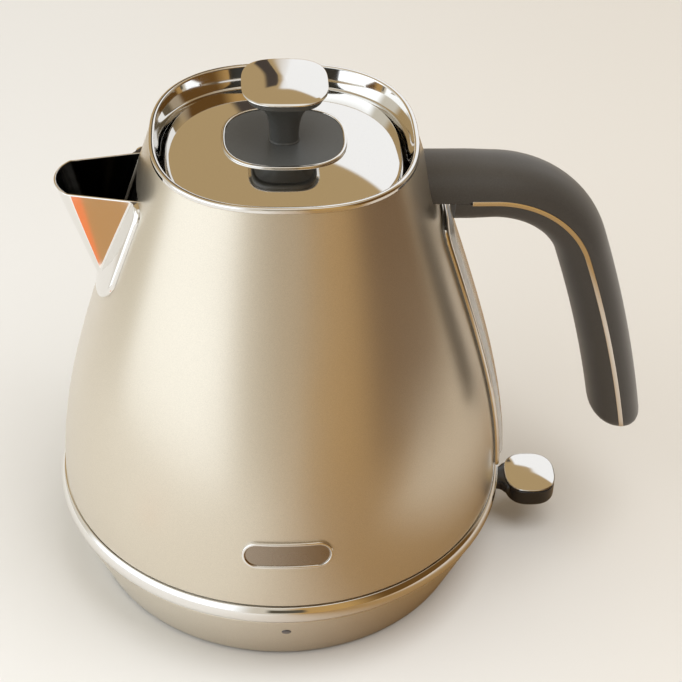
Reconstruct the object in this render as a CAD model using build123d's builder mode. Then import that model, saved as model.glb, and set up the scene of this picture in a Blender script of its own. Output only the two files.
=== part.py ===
from build123d import *
import os
from math import atan, cos, degrees, pi, sin

# Electric kettle with a lift-off jug, a pull-off lid and a round power base.
# Millimetres, +Z up. The handle points to +X, the spout to -X and the badge to -Y.
# The origin is on the kettle's upright axis, at the level that the base stands on.

# ---------------------------------------------------------------- driving dimensions
# Jug shell: round at the foot, a rounded square (squircle) at the rim.
foot_radius = 83.5          # half-width of the shell at its lower edge
rim_half = 46.4             # half-width of the shell across its flats at the top edge
shell_top = 182.6           # height of the shell's top edge
foot_pull = 41.0            # how far the flank rises upright before it leans in
shoulder_pull = 68.0        # how far the flank runs straight below the rim
shoulder_lean = 0.314       # lean of that straight stretch, sideways per height
rim_power = 2.5             # squareness of the rim: 2 is a circle
shell_wall = 1.0

# Rim collar, which lines the mouth and carries the lid
collar_lip = 1.9            # height of the chrome bead above the shell
collar_wall = 1.2
funnel_rim = 1.6            # width of the bead around the mouth
mouth_half = 38.6           # half-width of the clear mouth
ledge_depth = 8.2           # top of the lid ledge below the shell's top edge

# Lid
lid_half = 40.8
lid_recess = 7.0            # lid face below the collar's bead
lid_sheet = 0.9
lid_skirt = 2.1
plug_depth = 12.0           # how far the dark plug reaches below its flange
plug_wall = 1.8
flange_sheet = 1.4
seal_reach = 1.4
seal_height = 2.5
seal_drop = 3.0             # top of the lid seal below the plug's flange
groove_depth = 1.0

# Knob
plate_half_width = 21.8
plate_half_depth = 19.5
plate_thickness = 1.8
trim_width = 1.3
neck_half_width = 14.0
neck_half_depth = 16.4
neck_height = 3.1
stem_half = 5.1
knob_screw_length = 26.0
stem_height = 18.4
stem_flare = 2.35           # how much wider the stem is under the cap
cap_half_width = 14.8
cap_half_depth = 15.5
cap_thickness = 3.6
cap_crown = 0.55            # rise of the cap's top face towards its middle
cap_bed_thickness = 1.6
knob_power = 2.6

# Power base
base_set_in = 1.3           # the skirt's upper edge lies this far inside the chrome ring
base_taper = 11.3           # how much the skirt narrows towards its lower edge
base_height = 28.8
floor_gap = 1.0             # the skirt stands clear of the table on its feet
skirt_wall = 2.4
deck_drop = 3.2             # the deck lies this far below the skirt's upper edge
deck_wall = 2.5
foot_pad_radius = 6.5
foot_pad_inset = 15.9       # rubber feet, inwards from the skirt's lower edge
bottom_sheet = 2.2
base_screw_inset = 24.9     # base cover's screws, inwards from the skirt's lower edge
base_screw_length = 9.0
boss_wall = 2.0
post_radius = 9.3
post_height = 9.2           # connector post above the deck
post_flange_radius = 18.5
post_neck_radius = 15.0
post_core_radius = 3.6
pin_well_radius = 1.7
post_slot = 3.2             # width of the post's ring-shaped contact slot
contact_wall = 1.0
contact_reach = 6.0

# Jug bottom
ring_proud = 2.0            # the chrome ring stands this far out of the shell
ring_height = 6.9
ring_wall = 5.6
tongue_wall = 1.6
tongue_height = 3.4         # upstand of the ring that centres the shell
part_gap = 0.5              # shadow gap between painted and chrome pieces
shell_gap = 0.6             # shadow gap between the chrome ring and the shell above it
pan_sheet = 2.2
pan_wall = 2.2
pan_screw_inset = 17.5      # pan screws, inwards from the shell's lower edge
pan_screw_length = 10.0
plate_rise = 5.4            # top of the heated floor above the shell's lower edge
plate_sheet = 1.0
plate_crown = 1.2           # rise of the heated floor towards its middle
seal_width = 4.0
diffuser_radius = 58.0
diffuser_thickness = 3.0
element_radius = 44.0
element_tube = 3.2
element_gap_angle = 60.0
control_length = 58.0
control_width = 46.0
socket_radius = 16.8
socket_roof = 1.2           # wall of the jug's connector above the post

# Switch lever under the handle
lever_pivot_inset = 6.9     # lever's pin, inwards from the skirt's lower edge
lever_pivot_z = 19.0
lever_travel = 9.0          # degrees down from off to on
pin_radius = 1.5
arm_half = 4.7
arm_bottom = 17.9
arm_thickness = 4.6
paddle_reach = 33.6         # from the pin to the middle of the paddle
paddle_half_width = 10.2
paddle_half_depth = 12.2
paddle_thickness = 6.2
paddle_cap = 1.4
paddle_crown = 0.5          # rise of the chrome cap's top face towards its middle
arm_flare = 3.4             # radius of the hollow corners where the arm meets the paddle
slot_low = 14.6
hub_radius = 3.6            # lever hub around its pin
tail_reach = 10.0           # inner end of the lever beyond its pin
tail_thickness = 2.4
ear_thickness = 3.0
switch_length = 14.0
switch_width = 11.0
switch_top = 13.6

# Spout
spout_top = 166.2
spout_depth = 48.0          # height from the open top to the pointed lower end
tip_top_x = -80.2
tip_low_x = -64.4
nose_top_half = 10.8
nose_low_half = 4.6
nose_top_bow = 5.0
nose_low_bow = 2.4
root_x = -40.0
root_top_half = 17.9
root_low_half = 9.0
spout_wall = 1.3
spout_reach = 1.2           # the shell's pouring hole stops this far inside the trough
flange_half = 22.2
flange_bottom = 121.5
flange_bow = 13.5
flange_corner = 4.0
flange_proud = 1.8

# Filter behind the spout
filter_half = 17.5
filter_height = 40.0
filter_frame = 1.8
filter_rail = 3.0
mesh_thickness = 0.5
mesh_pitch = 3.6
mesh_hole = 2.4
mesh_columns = 8
mesh_rows = 9
filter_gap = 2.2            # from the shell's inner face at the middle of the filter

# Handle
handle_drop = 19.8          # centre line of the handle below the shell's top edge
bend_start = 73.6
bend_radius = 36.0
bend_angle = 70.6
drop_radius = 550.0
drop_angle = 9.4
handle_half_depth = 14.6
handle_half_thickness = 9.8
handle_power = 2.3
seam_shift = 1.0            # the chrome inlay lies this far outside the centre line
inlay_thickness = 1.8
inlay_start = 65.0
inlay_proud = 0.15
end_x = 126.0               # point that the slanted free end passes through
end_z = 58.0
end_slant = 8.0             # the end falls this steeply towards its outer side
end_round = 4.0
bracket_start = 3.0         # from the shell's face to the bracket inside the handle
bracket_width = 13.0
bracket_height = 13.5
bracket_length = 7.6
bracket_pitch = 7.0

# Water gauge under the handle
gauge_clearance = 0.6       # between the handle and the gauge's upper end
gauge_rise = 4.7            # from the shell's lower edge to the gauge's lower end
gauge_top_half = 15.5
gauge_bottom_half = 19.3
gauge_rail = 4.2
gauge_corner = 6.0
gauge_proud = 2.0
lens_proud = 3.0
seal_sheet = 0.5
slot_inset = 4.0            # the shell's slot is this much narrower than the lens

# Badge, lamp and cord gland
badge_width = 32.5
badge_height = 10.8
badge_level = 61.0
badge_proud = 1.1
badge_rim = 1.0
badge_sink = 0.5
lamp_level = 20.6
lamp_radius = 1.8
gland_level = 10.5
gland_radius = 4.6
cord_radius = 3.3
gland_length = 9.0
board_width = 16.0
board_sheet = 1.6
board_inset = 3.9           # lamp's board, inwards from the skirt's lower edge

# Fits
skin_gap = 0.05             # between skins that are glued or pressed face to face
fit_gap = 0.1               # between fixed pieces that slip together
run_gap = 0.4               # between pieces that move past each other
pin_gap = 0.05
screw_radius = 1.5
screw_head = 2.8
screw_head_height = 1.6

outline_steps = 24          # points on each squircle outline
os.makedirs("parts", exist_ok=True)


# ---------------------------------------------------------------- shared forms
def cubic(share, first, second, third, last):
    """One coordinate of a cubic Bezier curve."""
    rest = 1 - share
    return (rest ** 3 * first + 3 * rest ** 2 * share * second
            + 3 * rest * share ** 2 * third + share ** 3 * last)


def flank(height):
    """Half-width of the jug's outer form at a height."""
    low, high = -0.3, 1.3
    for _ in range(40):
        share = (low + high) / 2
        reached = cubic(share, shell_foot, shell_foot + foot_pull, shell_top - shoulder_pull, shell_top)
        if reached < height:
            low = share
        else:
            high = share
    return cubic(share, foot_radius, foot_radius, rim_half + shoulder_lean * shoulder_pull, rim_half)


def squareness(height):
    """Power of the jug's outline at a height: 2 at the foot, rim_power at the top."""
    rise = (height - shell_foot) / (shell_top - shell_foot)
    return 2 + (rim_power - 2) * min(max(rise, 0), 1)


def squircle(half_width, half_depth, power):
    """Points of the curve |x / half_width|^power + |y / half_depth|^power = 1."""
    points = []
    for step in range(outline_steps):
        turn = 2 * pi * step / outline_steps
        across, along = cos(turn), sin(turn)
        reach = (abs(across) ** power + abs(along) ** power) ** (-1 / power)
        points.append((half_width * reach * across, half_depth * reach * along))
    return points


def jug_form(grow, low, high, steps):
    """Solid with the jug's outer form, grown sideways, between two heights."""
    with BuildPart() as form:
        for step in range(steps + 1):
            height = low + (high - low) * step / steps
            half = flank(height) + grow
            with BuildSketch(Plane.XY.offset(height)):
                with BuildLine():
                    Spline(*squircle(half, half, squareness(height)), periodic=True)
                make_face()
        loft()
    return form.part


def squircle_block(half_width, half_depth, power, low, high, middle_x=0):
    """Upright block with a squircle outline."""
    with BuildPart() as block:
        with BuildSketch(Plane((middle_x, 0, low))):
            with BuildLine():
                Spline(*squircle(half_width, half_depth, power), periodic=True)
            make_face()
        extrude(amount=high - low)
    return block.part


def squircle_ring(outer_half, inner_half, power, low, high):
    """Upright ring between two square-set squircle outlines."""
    with BuildPart() as ring:
        with BuildSketch(Plane.XY.offset(low)):
            with BuildLine():
                Spline(*squircle(outer_half, outer_half, power), periodic=True)
            make_face()
            with BuildLine():
                Spline(*squircle(inner_half, inner_half, power), periodic=True)
            make_face(mode=Mode.SUBTRACT)
        extrude(amount=high - low)
    return ring.part


def crowned(block, half, crown, top):
    """A block whose flat top face becomes a low dome that is highest in the middle."""
    dome_radius = (half ** 2 + crown ** 2) / (2 * crown)
    middle = block.bounding_box().center()
    with BuildPart() as domed:
        with Locations((middle.X, middle.Y, top - dome_radius)):
            Sphere(dome_radius, rotation=(0, 90, 0))
        add(block, mode=Mode.INTERSECT)
    return domed.part


def screws(ring, count, start_angle, level, length, grow=0.0):
    """Screws driven upwards from a level, on a circle; grown a little they are the holes."""
    with BuildPart() as group:
        with BuildSketch(Plane.XY.offset(level - 5 * grow)):
            with PolarLocations(ring, count, start_angle):
                Circle(screw_head + grow)
        extrude(amount=screw_head_height + 6 * grow)
        with BuildSketch(Plane.XY.offset(level)):
            with PolarLocations(ring, count, start_angle):
                Circle(screw_radius + grow)
        extrude(amount=length + 2 * grow)
    return group.part


def save(piece, name):
    piece.part.label = name
    export_step(piece.part, f"parts/{name}.step")


# ---------------------------------------------------------------- sizes worked out
deck_height = base_height - deck_drop
ring_bottom = base_height + part_gap
ring_top = ring_bottom + ring_height
shell_foot = ring_top + shell_gap
plate_level = shell_foot + plate_rise
handle_height = shell_top - handle_drop
collar_depth = handle_drop - bracket_pitch / 2 - screw_head - run_gap
gauge_top = handle_height - handle_half_thickness - gauge_clearance
gauge_bottom = shell_foot + gauge_rise
ring_radius = foot_radius + ring_proud
base_top_radius = ring_radius - base_set_in
base_radius = base_top_radius - base_taper
skirt_lean = base_taper / (base_height - floor_gap)
lever_pivot_x = base_radius - lever_pivot_inset
paddle_x = lever_pivot_x + paddle_reach
board_face = base_radius - board_inset
pan_bottom = deck_height + run_gap
socket_top = pan_bottom + post_height + socket_roof
bead_top = shell_top + collar_lip
lid_face = bead_top - lid_recess
ledge_top = shell_top - ledge_depth
plug_flange_low = ledge_top + 0.3
plug_flange_top = lid_face - lid_sheet
knob_face = lid_face + neck_height
stem_foot = knob_face + plate_thickness
cap_bed = stem_foot + stem_height
collar_skirt_half = rim_half - shell_wall - fit_gap


# ---------------------------------------------------------------- jug shell


def spout_block(inset):
    """Beak form: a slanted trough section, lofted from the open top to the lower end."""
    with BuildPart() as block:
        for level, tip_x, nose_half, bow, root_half in (
            (spout_top + (1 if inset else 0), tip_top_x, nose_top_half, nose_top_bow, root_top_half),
            (spout_top - spout_depth, tip_low_x, nose_low_half, nose_low_bow, root_low_half),
        ):
            corner = (tip_x + bow + inset / 2, nose_half - inset)
            with BuildSketch(Plane.XY.offset(level)):
                with BuildLine():
                    Line((root_x, -root_half + inset), (corner[0], -corner[1]))
                    ThreePointArc((corner[0], -corner[1]), (tip_x + inset, 0), corner)
                    Line(corner, (root_x, root_half - inset))
                    Line((root_x, root_half - inset), (root_x, -root_half + inset))
                make_face()
        loft(ruled=True)
    return block.part


def gauge_outline(inset, reach):
    """Upright plate-shaped prism through the jug's back wall, with the gauge's outline."""
    with BuildPart() as prism:
        with BuildSketch(Plane.YZ):
            with BuildLine():
                Polyline(
                    (-gauge_bottom_half + inset, gauge_bottom + inset),
                    (gauge_bottom_half - inset, gauge_bottom + inset),
                    (gauge_top_half - inset, gauge_top - inset),
                    (-gauge_top_half + inset, gauge_top - inset),
                    close=True,
                )
            corners = make_face().vertices()
            fillet(corners, radius=max(gauge_corner - inset, 1.5))
        extrude(amount=reach)
    return prism.part


# flank plane at the handle's root, which the bracket and its screws sit square to
root_lean = degrees(atan((flank(handle_height - 10) - flank(handle_height + 10)) / 20))
root_plane = Plane(
    origin=(flank(handle_height), 0, handle_height),
    x_dir=(0, 1, 0),
    z_dir=Vector(1, 0, 0).rotate(Axis.Y, -root_lean),
)


def bracket_block(grow):
    """Steel anchor inside the handle's root."""
    with BuildPart() as block:
        with BuildSketch(root_plane.offset(bracket_start - grow)):
            RectangleRounded(bracket_width + 2 * grow, bracket_height + 2 * grow, 2.0)
        extrude(amount=bracket_length + 2 * grow)
    return block.part


def bracket_screws(grow):
    """Two screws from inside the jug into the bracket; grown a little they are the holes."""
    with BuildPart() as group:
        with BuildSketch(root_plane.offset(-shell_wall - screw_head_height)):
            with GridLocations(0, bracket_pitch, 1, 2):
                Circle(screw_head + grow)
        extrude(amount=screw_head_height)
        with BuildSketch(root_plane.offset(-shell_wall)):
            with GridLocations(0, bracket_pitch, 1, 2):
                Circle(screw_radius + grow)
        extrude(amount=shell_wall + bracket_start + bracket_length - 1)
    return group.part


trough = spout_block(spout_wall)

with BuildPart() as body_shell:
    add(jug_form(0, shell_foot, shell_top, 8))
    add(jug_form(-shell_wall, shell_foot - 1, shell_top + 1, 8), mode=Mode.SUBTRACT)
    add(spout_block(spout_wall + spout_reach), mode=Mode.SUBTRACT)
    add(gauge_outline(gauge_rail + slot_inset, foot_radius + 10), mode=Mode.SUBTRACT)
    add(bracket_screws(fit_gap), mode=Mode.SUBTRACT)
save(body_shell, "body_shell")

# ---------------------------------------------------------------- spout
with BuildPart() as spout:
    with BuildSketch(Plane.YZ):
        with Locations((0, flange_bottom + flange_bow)):
            Ellipse(flange_half, flange_bow)
        with Locations((0, flange_bottom + flange_bow)):
            Rectangle(2 * flange_half, spout_top - flange_bottom - flange_bow,
                      align=(Align.CENTER, Align.MIN))
        top_corners = vertices().group_by(Axis.Y)[-1]
        fillet(top_corners, radius=flange_corner)
    extrude(amount=-foot_radius - 10)
    add(jug_form(flange_proud, flange_bottom - 4, spout_top + 4, 4), mode=Mode.INTERSECT)
    add(spout_block(0))
    add(jug_form(skin_gap, flange_bottom - 8, spout_top + 8, 5), mode=Mode.SUBTRACT)
    add(trough, mode=Mode.SUBTRACT)
save(spout, "spout")

# ---------------------------------------------------------------- spout filter
filter_middle = spout_top - filter_height / 2
filter_lean = degrees(atan((flank(filter_middle - 10) - flank(filter_middle + 10)) / 20))
filter_plane = Plane(
    origin=(-flank(filter_middle) + shell_wall + filter_gap, 0, filter_middle),
    x_dir=(0, -1, 0),
    z_dir=Vector(1, 0, 0).rotate(Axis.Y, filter_lean),
)

with BuildPart() as filter_frame_piece:
    with BuildSketch(filter_plane):
        RectangleRounded(2 * filter_half, filter_height, filter_rail + 2)
        RectangleRounded(2 * (filter_half - filter_rail), filter_height - 2 * filter_rail, 2, mode=Mode.SUBTRACT)
    extrude(amount=filter_frame)
    with BuildSketch(filter_plane):
        Rectangle(filter_rail / 2, filter_height - filter_rail)
    extrude(amount=filter_frame)
save(filter_frame_piece, "filter_frame")

with BuildPart() as filter_mesh:
    with BuildSketch(filter_plane.offset(filter_frame)):
        RectangleRounded(2 * filter_half - filter_rail, filter_height - filter_rail, filter_rail)
        with GridLocations(mesh_pitch, mesh_pitch, mesh_columns, mesh_rows):
            Rectangle(mesh_hole, mesh_hole, mode=Mode.SUBTRACT)
    extrude(amount=mesh_thickness)
save(filter_mesh, "filter_mesh")

# ---------------------------------------------------------------- rim collar
funnel_low = ledge_top
with BuildPart() as rim_collar:
    add(squircle_block(collar_skirt_half, collar_skirt_half, rim_power, shell_top - collar_depth, shell_top))
    with BuildSketch(Plane.XY.offset(shell_top)):
        with BuildLine():
            Spline(*squircle(rim_half + 0.2, rim_half + 0.2, rim_power), periodic=True)
        make_face()
    extrude(amount=collar_lip)
    bead_edges = edges().group_by(Axis.Z)[-1]
    fillet(bead_edges, radius=0.45 * collar_lip)
    with BuildSketch(Plane.XY.offset(funnel_low)):
        with BuildLine():
            Spline(*squircle(lid_half + 0.7, lid_half + 0.7, rim_power), periodic=True)
        make_face()
    with BuildSketch(Plane.XY.offset(bead_top + 0.1)):
        with BuildLine():
            Spline(*squircle(rim_half - funnel_rim, rim_half - funnel_rim, rim_power), periodic=True)
        make_face()
    loft(mode=Mode.SUBTRACT)
    add(squircle_block(mouth_half, mouth_half, rim_power, shell_top - collar_depth - 1, funnel_low + 1),
        mode=Mode.SUBTRACT)
    add(squircle_block(collar_skirt_half - collar_wall, collar_skirt_half - collar_wall, rim_power,
                       shell_top - collar_depth - 1, ledge_top - collar_wall), mode=Mode.SUBTRACT)
save(rim_collar, "rim_collar")

# ---------------------------------------------------------------- bottom ring, pan and heated floor
with BuildPart() as bottom_ring:
    with BuildSketch(Plane.XZ):
        with BuildLine():
            Polyline(
                (ring_radius - ring_wall, ring_top),
                (ring_radius - ring_wall, ring_bottom),
                (ring_radius - 1.0, ring_bottom),
            )
            ThreePointArc(
                (ring_radius - 1.0, ring_bottom),
                (ring_radius, ring_bottom + 0.45 * ring_height),
                (foot_radius + 0.4, ring_top),
            )
            Line((foot_radius + 0.4, ring_top), (ring_radius - ring_wall, ring_top))
        make_face()
        with Locations((foot_radius - shell_wall - fit_gap, ring_top)):
            Rectangle(tongue_wall, tongue_height, align=(Align.MAX, Align.MIN))
    revolve(axis=Axis.Z)
save(bottom_ring, "bottom_ring")

pan_radius = ring_radius - ring_wall - fit_gap
tongue_top = ring_top + tongue_height
with BuildPart() as bottom_pan:
    with BuildSketch(Plane.XZ):
        with Locations((socket_radius + run_gap, pan_bottom)):
            Rectangle(pan_radius - 1.5 - socket_radius - run_gap, pan_sheet, align=(Align.MIN, Align.MIN))
        with BuildLine():
            Polyline(
                (pan_radius - 1.5, pan_bottom),
                (pan_radius, pan_bottom + 1.5),
                (pan_radius, ring_top),
                (pan_radius - pan_wall, ring_top),
                (pan_radius - pan_wall, pan_bottom),
                close=True,
            )
        make_face()
    revolve(axis=Axis.Z)
    with BuildSketch(Plane.XY.offset(pan_bottom)):
        with PolarLocations(foot_radius - pan_screw_inset, 3, 60):
            Circle(screw_head + 1.6)
    extrude(amount=plate_level - plate_sheet - pan_bottom)
    add(screws(foot_radius - pan_screw_inset, 3, 60, pan_bottom, pan_screw_length, fit_gap), mode=Mode.SUBTRACT)
save(bottom_pan, "bottom_pan")

with BuildPart() as pan_screws:
    add(screws(foot_radius - pan_screw_inset, 3, 60, pan_bottom, pan_screw_length))
save(pan_screws, "pan_screws")

with BuildPart() as floor_plate:
    with BuildSketch(Plane.XZ):
        with BuildLine():
            Polyline(
                (0, plate_level + plate_crown),
                (0, plate_level + plate_crown - plate_sheet),
                (diffuser_radius, plate_level - plate_sheet),
                (foot_radius - shell_wall - 2 * fit_gap, plate_level - plate_sheet),
                (foot_radius - shell_wall - 2 * fit_gap, plate_level),
                (diffuser_radius, plate_level),
                close=True,
            )
        make_face()
    revolve(axis=Axis.Z)
save(floor_plate, "floor_plate")

with BuildPart() as floor_seal:
    with BuildSketch(Plane.XY.offset(tongue_top)):
        Circle(foot_radius - shell_wall - fit_gap)
        Circle(foot_radius - shell_wall - seal_width, mode=Mode.SUBTRACT)
    extrude(amount=plate_level - plate_sheet - tongue_top)
save(floor_seal, "floor_seal")

diffuser_low = plate_level - plate_sheet - diffuser_thickness
with BuildPart() as heat_diffuser:
    with BuildSketch(Plane.XZ):
        with BuildLine():
            Polyline(
                (0, diffuser_low),
                (diffuser_radius - 1, diffuser_low),
                (diffuser_radius - 1, plate_level - plate_sheet),
                (0, plate_level + plate_crown - plate_sheet),
                close=True,
            )
        make_face()
    revolve(axis=Axis.Z)
save(heat_diffuser, "heat_diffuser")

with BuildPart() as heating_element:
    element_plane = Plane.XZ.rotated((0, 0, element_gap_angle / 2))
    with BuildSketch(element_plane):
        with Locations((element_radius, diffuser_low - element_tube)):
            Circle(element_tube)
    revolve(axis=Axis.Z, revolution_arc=360 - element_gap_angle)
save(heating_element, "heating_element")

control_low = pan_bottom + pan_sheet + 1.0
with BuildPart() as thermal_control:
    with BuildSketch(Plane.XY.offset(control_low)):
        RectangleRounded(control_length, control_width, 6)
        Circle(socket_radius + run_gap, mode=Mode.SUBTRACT)
    extrude(amount=diffuser_low - control_low)
    with BuildSketch(Plane.XY.offset(pan_bottom + pan_sheet)):
        with GridLocations(control_length - 12, control_width - 12, 2, 2):
            Circle(3)
    extrude(amount=1.0)
save(thermal_control, "thermal_control")

# ---------------------------------------------------------------- round connector, jug half
slot_inner = post_core_radius + post_slot
with BuildPart() as jug_connector:
    with BuildSketch(Plane.XZ):
        with BuildLine():
            Polyline(
                (post_radius + run_gap, pan_bottom),
                (socket_radius, pan_bottom),
                (socket_radius, socket_top),
                (0, socket_top),
                (0, deck_height + post_height + run_gap),
                (post_radius + run_gap, deck_height + post_height + run_gap),
                close=True,
            )
        make_face()
    revolve(axis=Axis.Z)
    socket_edge = edges().filter_by(GeomType.CIRCLE).group_by(Axis.Z)[0].sort_by(SortBy.RADIUS)[0]
    chamfer(socket_edge, length=1.2)
save(jug_connector, "jug_connector")

contact_middle = post_core_radius + post_slot / 2
with BuildPart() as jug_contacts:
    with BuildSketch(Plane.XY.offset(deck_height + post_height + run_gap - contact_reach)):
        Circle(contact_middle + contact_wall / 2)
        Circle(contact_middle - contact_wall / 2, mode=Mode.SUBTRACT)
    extrude(amount=contact_reach)
save(jug_contacts, "jug_contacts")

# ---------------------------------------------------------------- power base
def skirt_radius(height):
    """Outer radius of the base's skirt."""
    return base_radius + skirt_lean * (height - floor_gap)


with BuildPart() as base_housing:
    with BuildSketch(Plane.XZ):
        with BuildLine():
            Polyline(
                (skirt_radius(floor_gap) - skirt_wall, floor_gap),
                (skirt_radius(floor_gap), floor_gap),
                (skirt_radius(base_height), base_height),
                (pan_radius + 2.0, base_height),
                (pan_radius + 2.0, deck_height),
                (post_neck_radius + fit_gap, deck_height),
                (post_neck_radius + fit_gap, deck_height - deck_wall),
                (skirt_radius(deck_height - deck_wall) - skirt_wall, deck_height - deck_wall),
                close=True,
            )
        make_face()
    revolve(axis=Axis.Z)
    # lever slot
    with BuildSketch(Plane.YZ.offset(base_radius - 10)):
        with BuildLine():
            Polyline(
                (-arm_half - 0.8, slot_low),
                (arm_half + 0.8, slot_low),
                (arm_half + 0.8, arm_bottom + arm_thickness + run_gap),
                (-arm_half - 0.8, arm_bottom + arm_thickness + run_gap),
                close=True,
            )
        make_face()
    extrude(amount=30, mode=Mode.SUBTRACT)
    # lamp and cord gland holes
    with BuildSketch(Plane.XZ.offset(base_radius - 10)):
        with Locations((0, lamp_level)):
            Circle(lamp_radius + skin_gap)
    extrude(amount=30, mode=Mode.SUBTRACT)
    with BuildSketch(Plane.XZ.offset(-base_radius + 10)):
        with Locations((0, gland_level)):
            Circle(gland_radius + skin_gap)
    extrude(amount=-30, mode=Mode.SUBTRACT)
save(base_housing, "base_housing")

# ---------------------------------------------------------------- base underside
with BuildPart() as base_bottom:
    with BuildSketch(Plane.XY.offset(floor_gap)):
        Circle(base_radius - skirt_wall - fit_gap)
    extrude(amount=bottom_sheet)
    # screw bosses up to the deck, and ears that carry the lever's pin
    with BuildSketch(Plane.XY.offset(floor_gap + bottom_sheet)):
        with PolarLocations(base_radius - base_screw_inset, 3, 60):
            Circle(screw_head + boss_wall)
    extrude(amount=deck_height - deck_wall - floor_gap - bottom_sheet)
    with BuildSketch(Plane.XY.offset(floor_gap + bottom_sheet)):
        with Locations((lever_pivot_x, arm_half + run_gap)):
            Rectangle(2 * hub_radius, ear_thickness, align=(Align.CENTER, Align.MIN))
        with Locations((lever_pivot_x, -arm_half - run_gap)):
            Rectangle(2 * hub_radius, ear_thickness, align=(Align.CENTER, Align.MAX))
    extrude(amount=lever_pivot_z + hub_radius - floor_gap - bottom_sheet)
    with BuildSketch(Plane.XZ.offset(-arm_half - 10)):
        with Locations((lever_pivot_x, lever_pivot_z)):
            Circle(pin_radius + skin_gap)
    extrude(amount=2 * arm_half + 20, mode=Mode.SUBTRACT)
    # wall that holds the lamp's board
    with BuildSketch(Plane.XY.offset(floor_gap + bottom_sheet)):
        with Locations((0, -board_face + board_sheet)):
            Rectangle(board_width, 2.0, align=(Align.CENTER, Align.MIN))
    extrude(amount=lamp_level - lamp_radius - floor_gap - bottom_sheet)
    add(screws(base_radius - base_screw_inset, 3, 60, floor_gap, base_screw_length, fit_gap), mode=Mode.SUBTRACT)
save(base_bottom, "base_bottom")

with BuildPart() as base_screws:
    add(screws(base_radius - base_screw_inset, 3, 60, floor_gap, base_screw_length))
save(base_screws, "base_screws")

with BuildPart() as base_feet:
    with BuildSketch():
        with PolarLocations(base_radius - foot_pad_inset, 4, 45):
            Circle(foot_pad_radius)
    extrude(amount=floor_gap)
save(base_feet, "base_feet")

# ---------------------------------------------------------------- round connector, base half
post_top = deck_height + post_height
with BuildPart() as base_connector:
    with BuildSketch(Plane.XZ):
        with BuildLine():
            Polyline(
                (pin_well_radius, floor_gap + bottom_sheet),
                (post_flange_radius, floor_gap + bottom_sheet),
                (post_flange_radius, deck_height - deck_wall),
                (post_neck_radius, deck_height - deck_wall),
                (post_neck_radius, deck_height),
                (post_radius, deck_height),
                (post_radius, post_top),
                (slot_inner, post_top),
                (slot_inner, deck_height),
                (post_core_radius, deck_height),
                (post_core_radius, post_top),
                (pin_well_radius, post_top),
                close=True,
            )
        make_face()
    revolve(axis=Axis.Z)
    post_edge = edges().filter_by(GeomType.CIRCLE).group_by(Axis.Z)[-1].sort_by(SortBy.RADIUS)[-1]
    chamfer(post_edge, length=0.8)
save(base_connector, "base_connector")

with BuildPart() as base_contacts:
    with BuildSketch(Plane.XY.offset(floor_gap + bottom_sheet)):
        Circle(pin_well_radius - fit_gap)
    extrude(amount=post_top - 2.0 - floor_gap - bottom_sheet)
    fillet(edges().group_by(Axis.Z)[-1], radius=0.8)
save(base_contacts, "base_contacts")

# ---------------------------------------------------------------- lamp, cord gland and switch
with BuildPart() as lamp_lens:
    with BuildSketch(Plane.XZ.offset(board_face)):
        with Locations((0, lamp_level)):
            Circle(lamp_radius)
    extrude(amount=30)
    with BuildSketch(Plane.XZ):
        with BuildLine():
            Polyline(
                (0, 0),
                (skirt_radius(0), 0),
                (skirt_radius(base_height), base_height),
                (0, base_height),
                close=True,
            )
        make_face()
    revolve(axis=Axis.Z, mode=Mode.INTERSECT)
save(lamp_lens, "lamp_lens")

with BuildPart() as lamp_board:
    with BuildSketch(Plane.XZ.offset(board_face - board_sheet)):
        with Locations((0, floor_gap + bottom_sheet)):
            Rectangle(board_width, deck_height - deck_wall - floor_gap - bottom_sheet - run_gap,
                      align=(Align.CENTER, Align.MIN))
    extrude(amount=board_sheet)
save(lamp_board, "lamp_board")

with BuildPart() as cord_gland:
    with BuildSketch(Plane.XZ.offset(-skirt_radius(gland_level) - 1.0)):
        with Locations((0, gland_level)):
            Circle(gland_radius)
            Circle(cord_radius, mode=Mode.SUBTRACT)
    extrude(amount=gland_length)
    with BuildSketch(Plane.XZ.offset(-skirt_radius(gland_level) + gland_length - 2.5)):
        with Locations((0, gland_level)):
            Circle(gland_radius + 1.6)
            Circle(cord_radius, mode=Mode.SUBTRACT)
    extrude(amount=2.0)
save(cord_gland, "cord_gland")

switch_x = lever_pivot_x - hub_radius - switch_length / 2 - 1.5
with BuildPart() as switch_unit:
    with BuildSketch(Plane.XY.offset(floor_gap + bottom_sheet)):
        with Locations((switch_x, 0)):
            Rectangle(switch_length, switch_width)
    extrude(amount=switch_top - floor_gap - bottom_sheet)
    with BuildSketch(Plane.XY.offset(switch_top)):
        with Locations((lever_pivot_x - tail_reach + 1.5, 0)):
            Circle(1.4)
    extrude(amount=arm_bottom - run_gap - switch_top)
save(switch_unit, "switch_unit")

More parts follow.
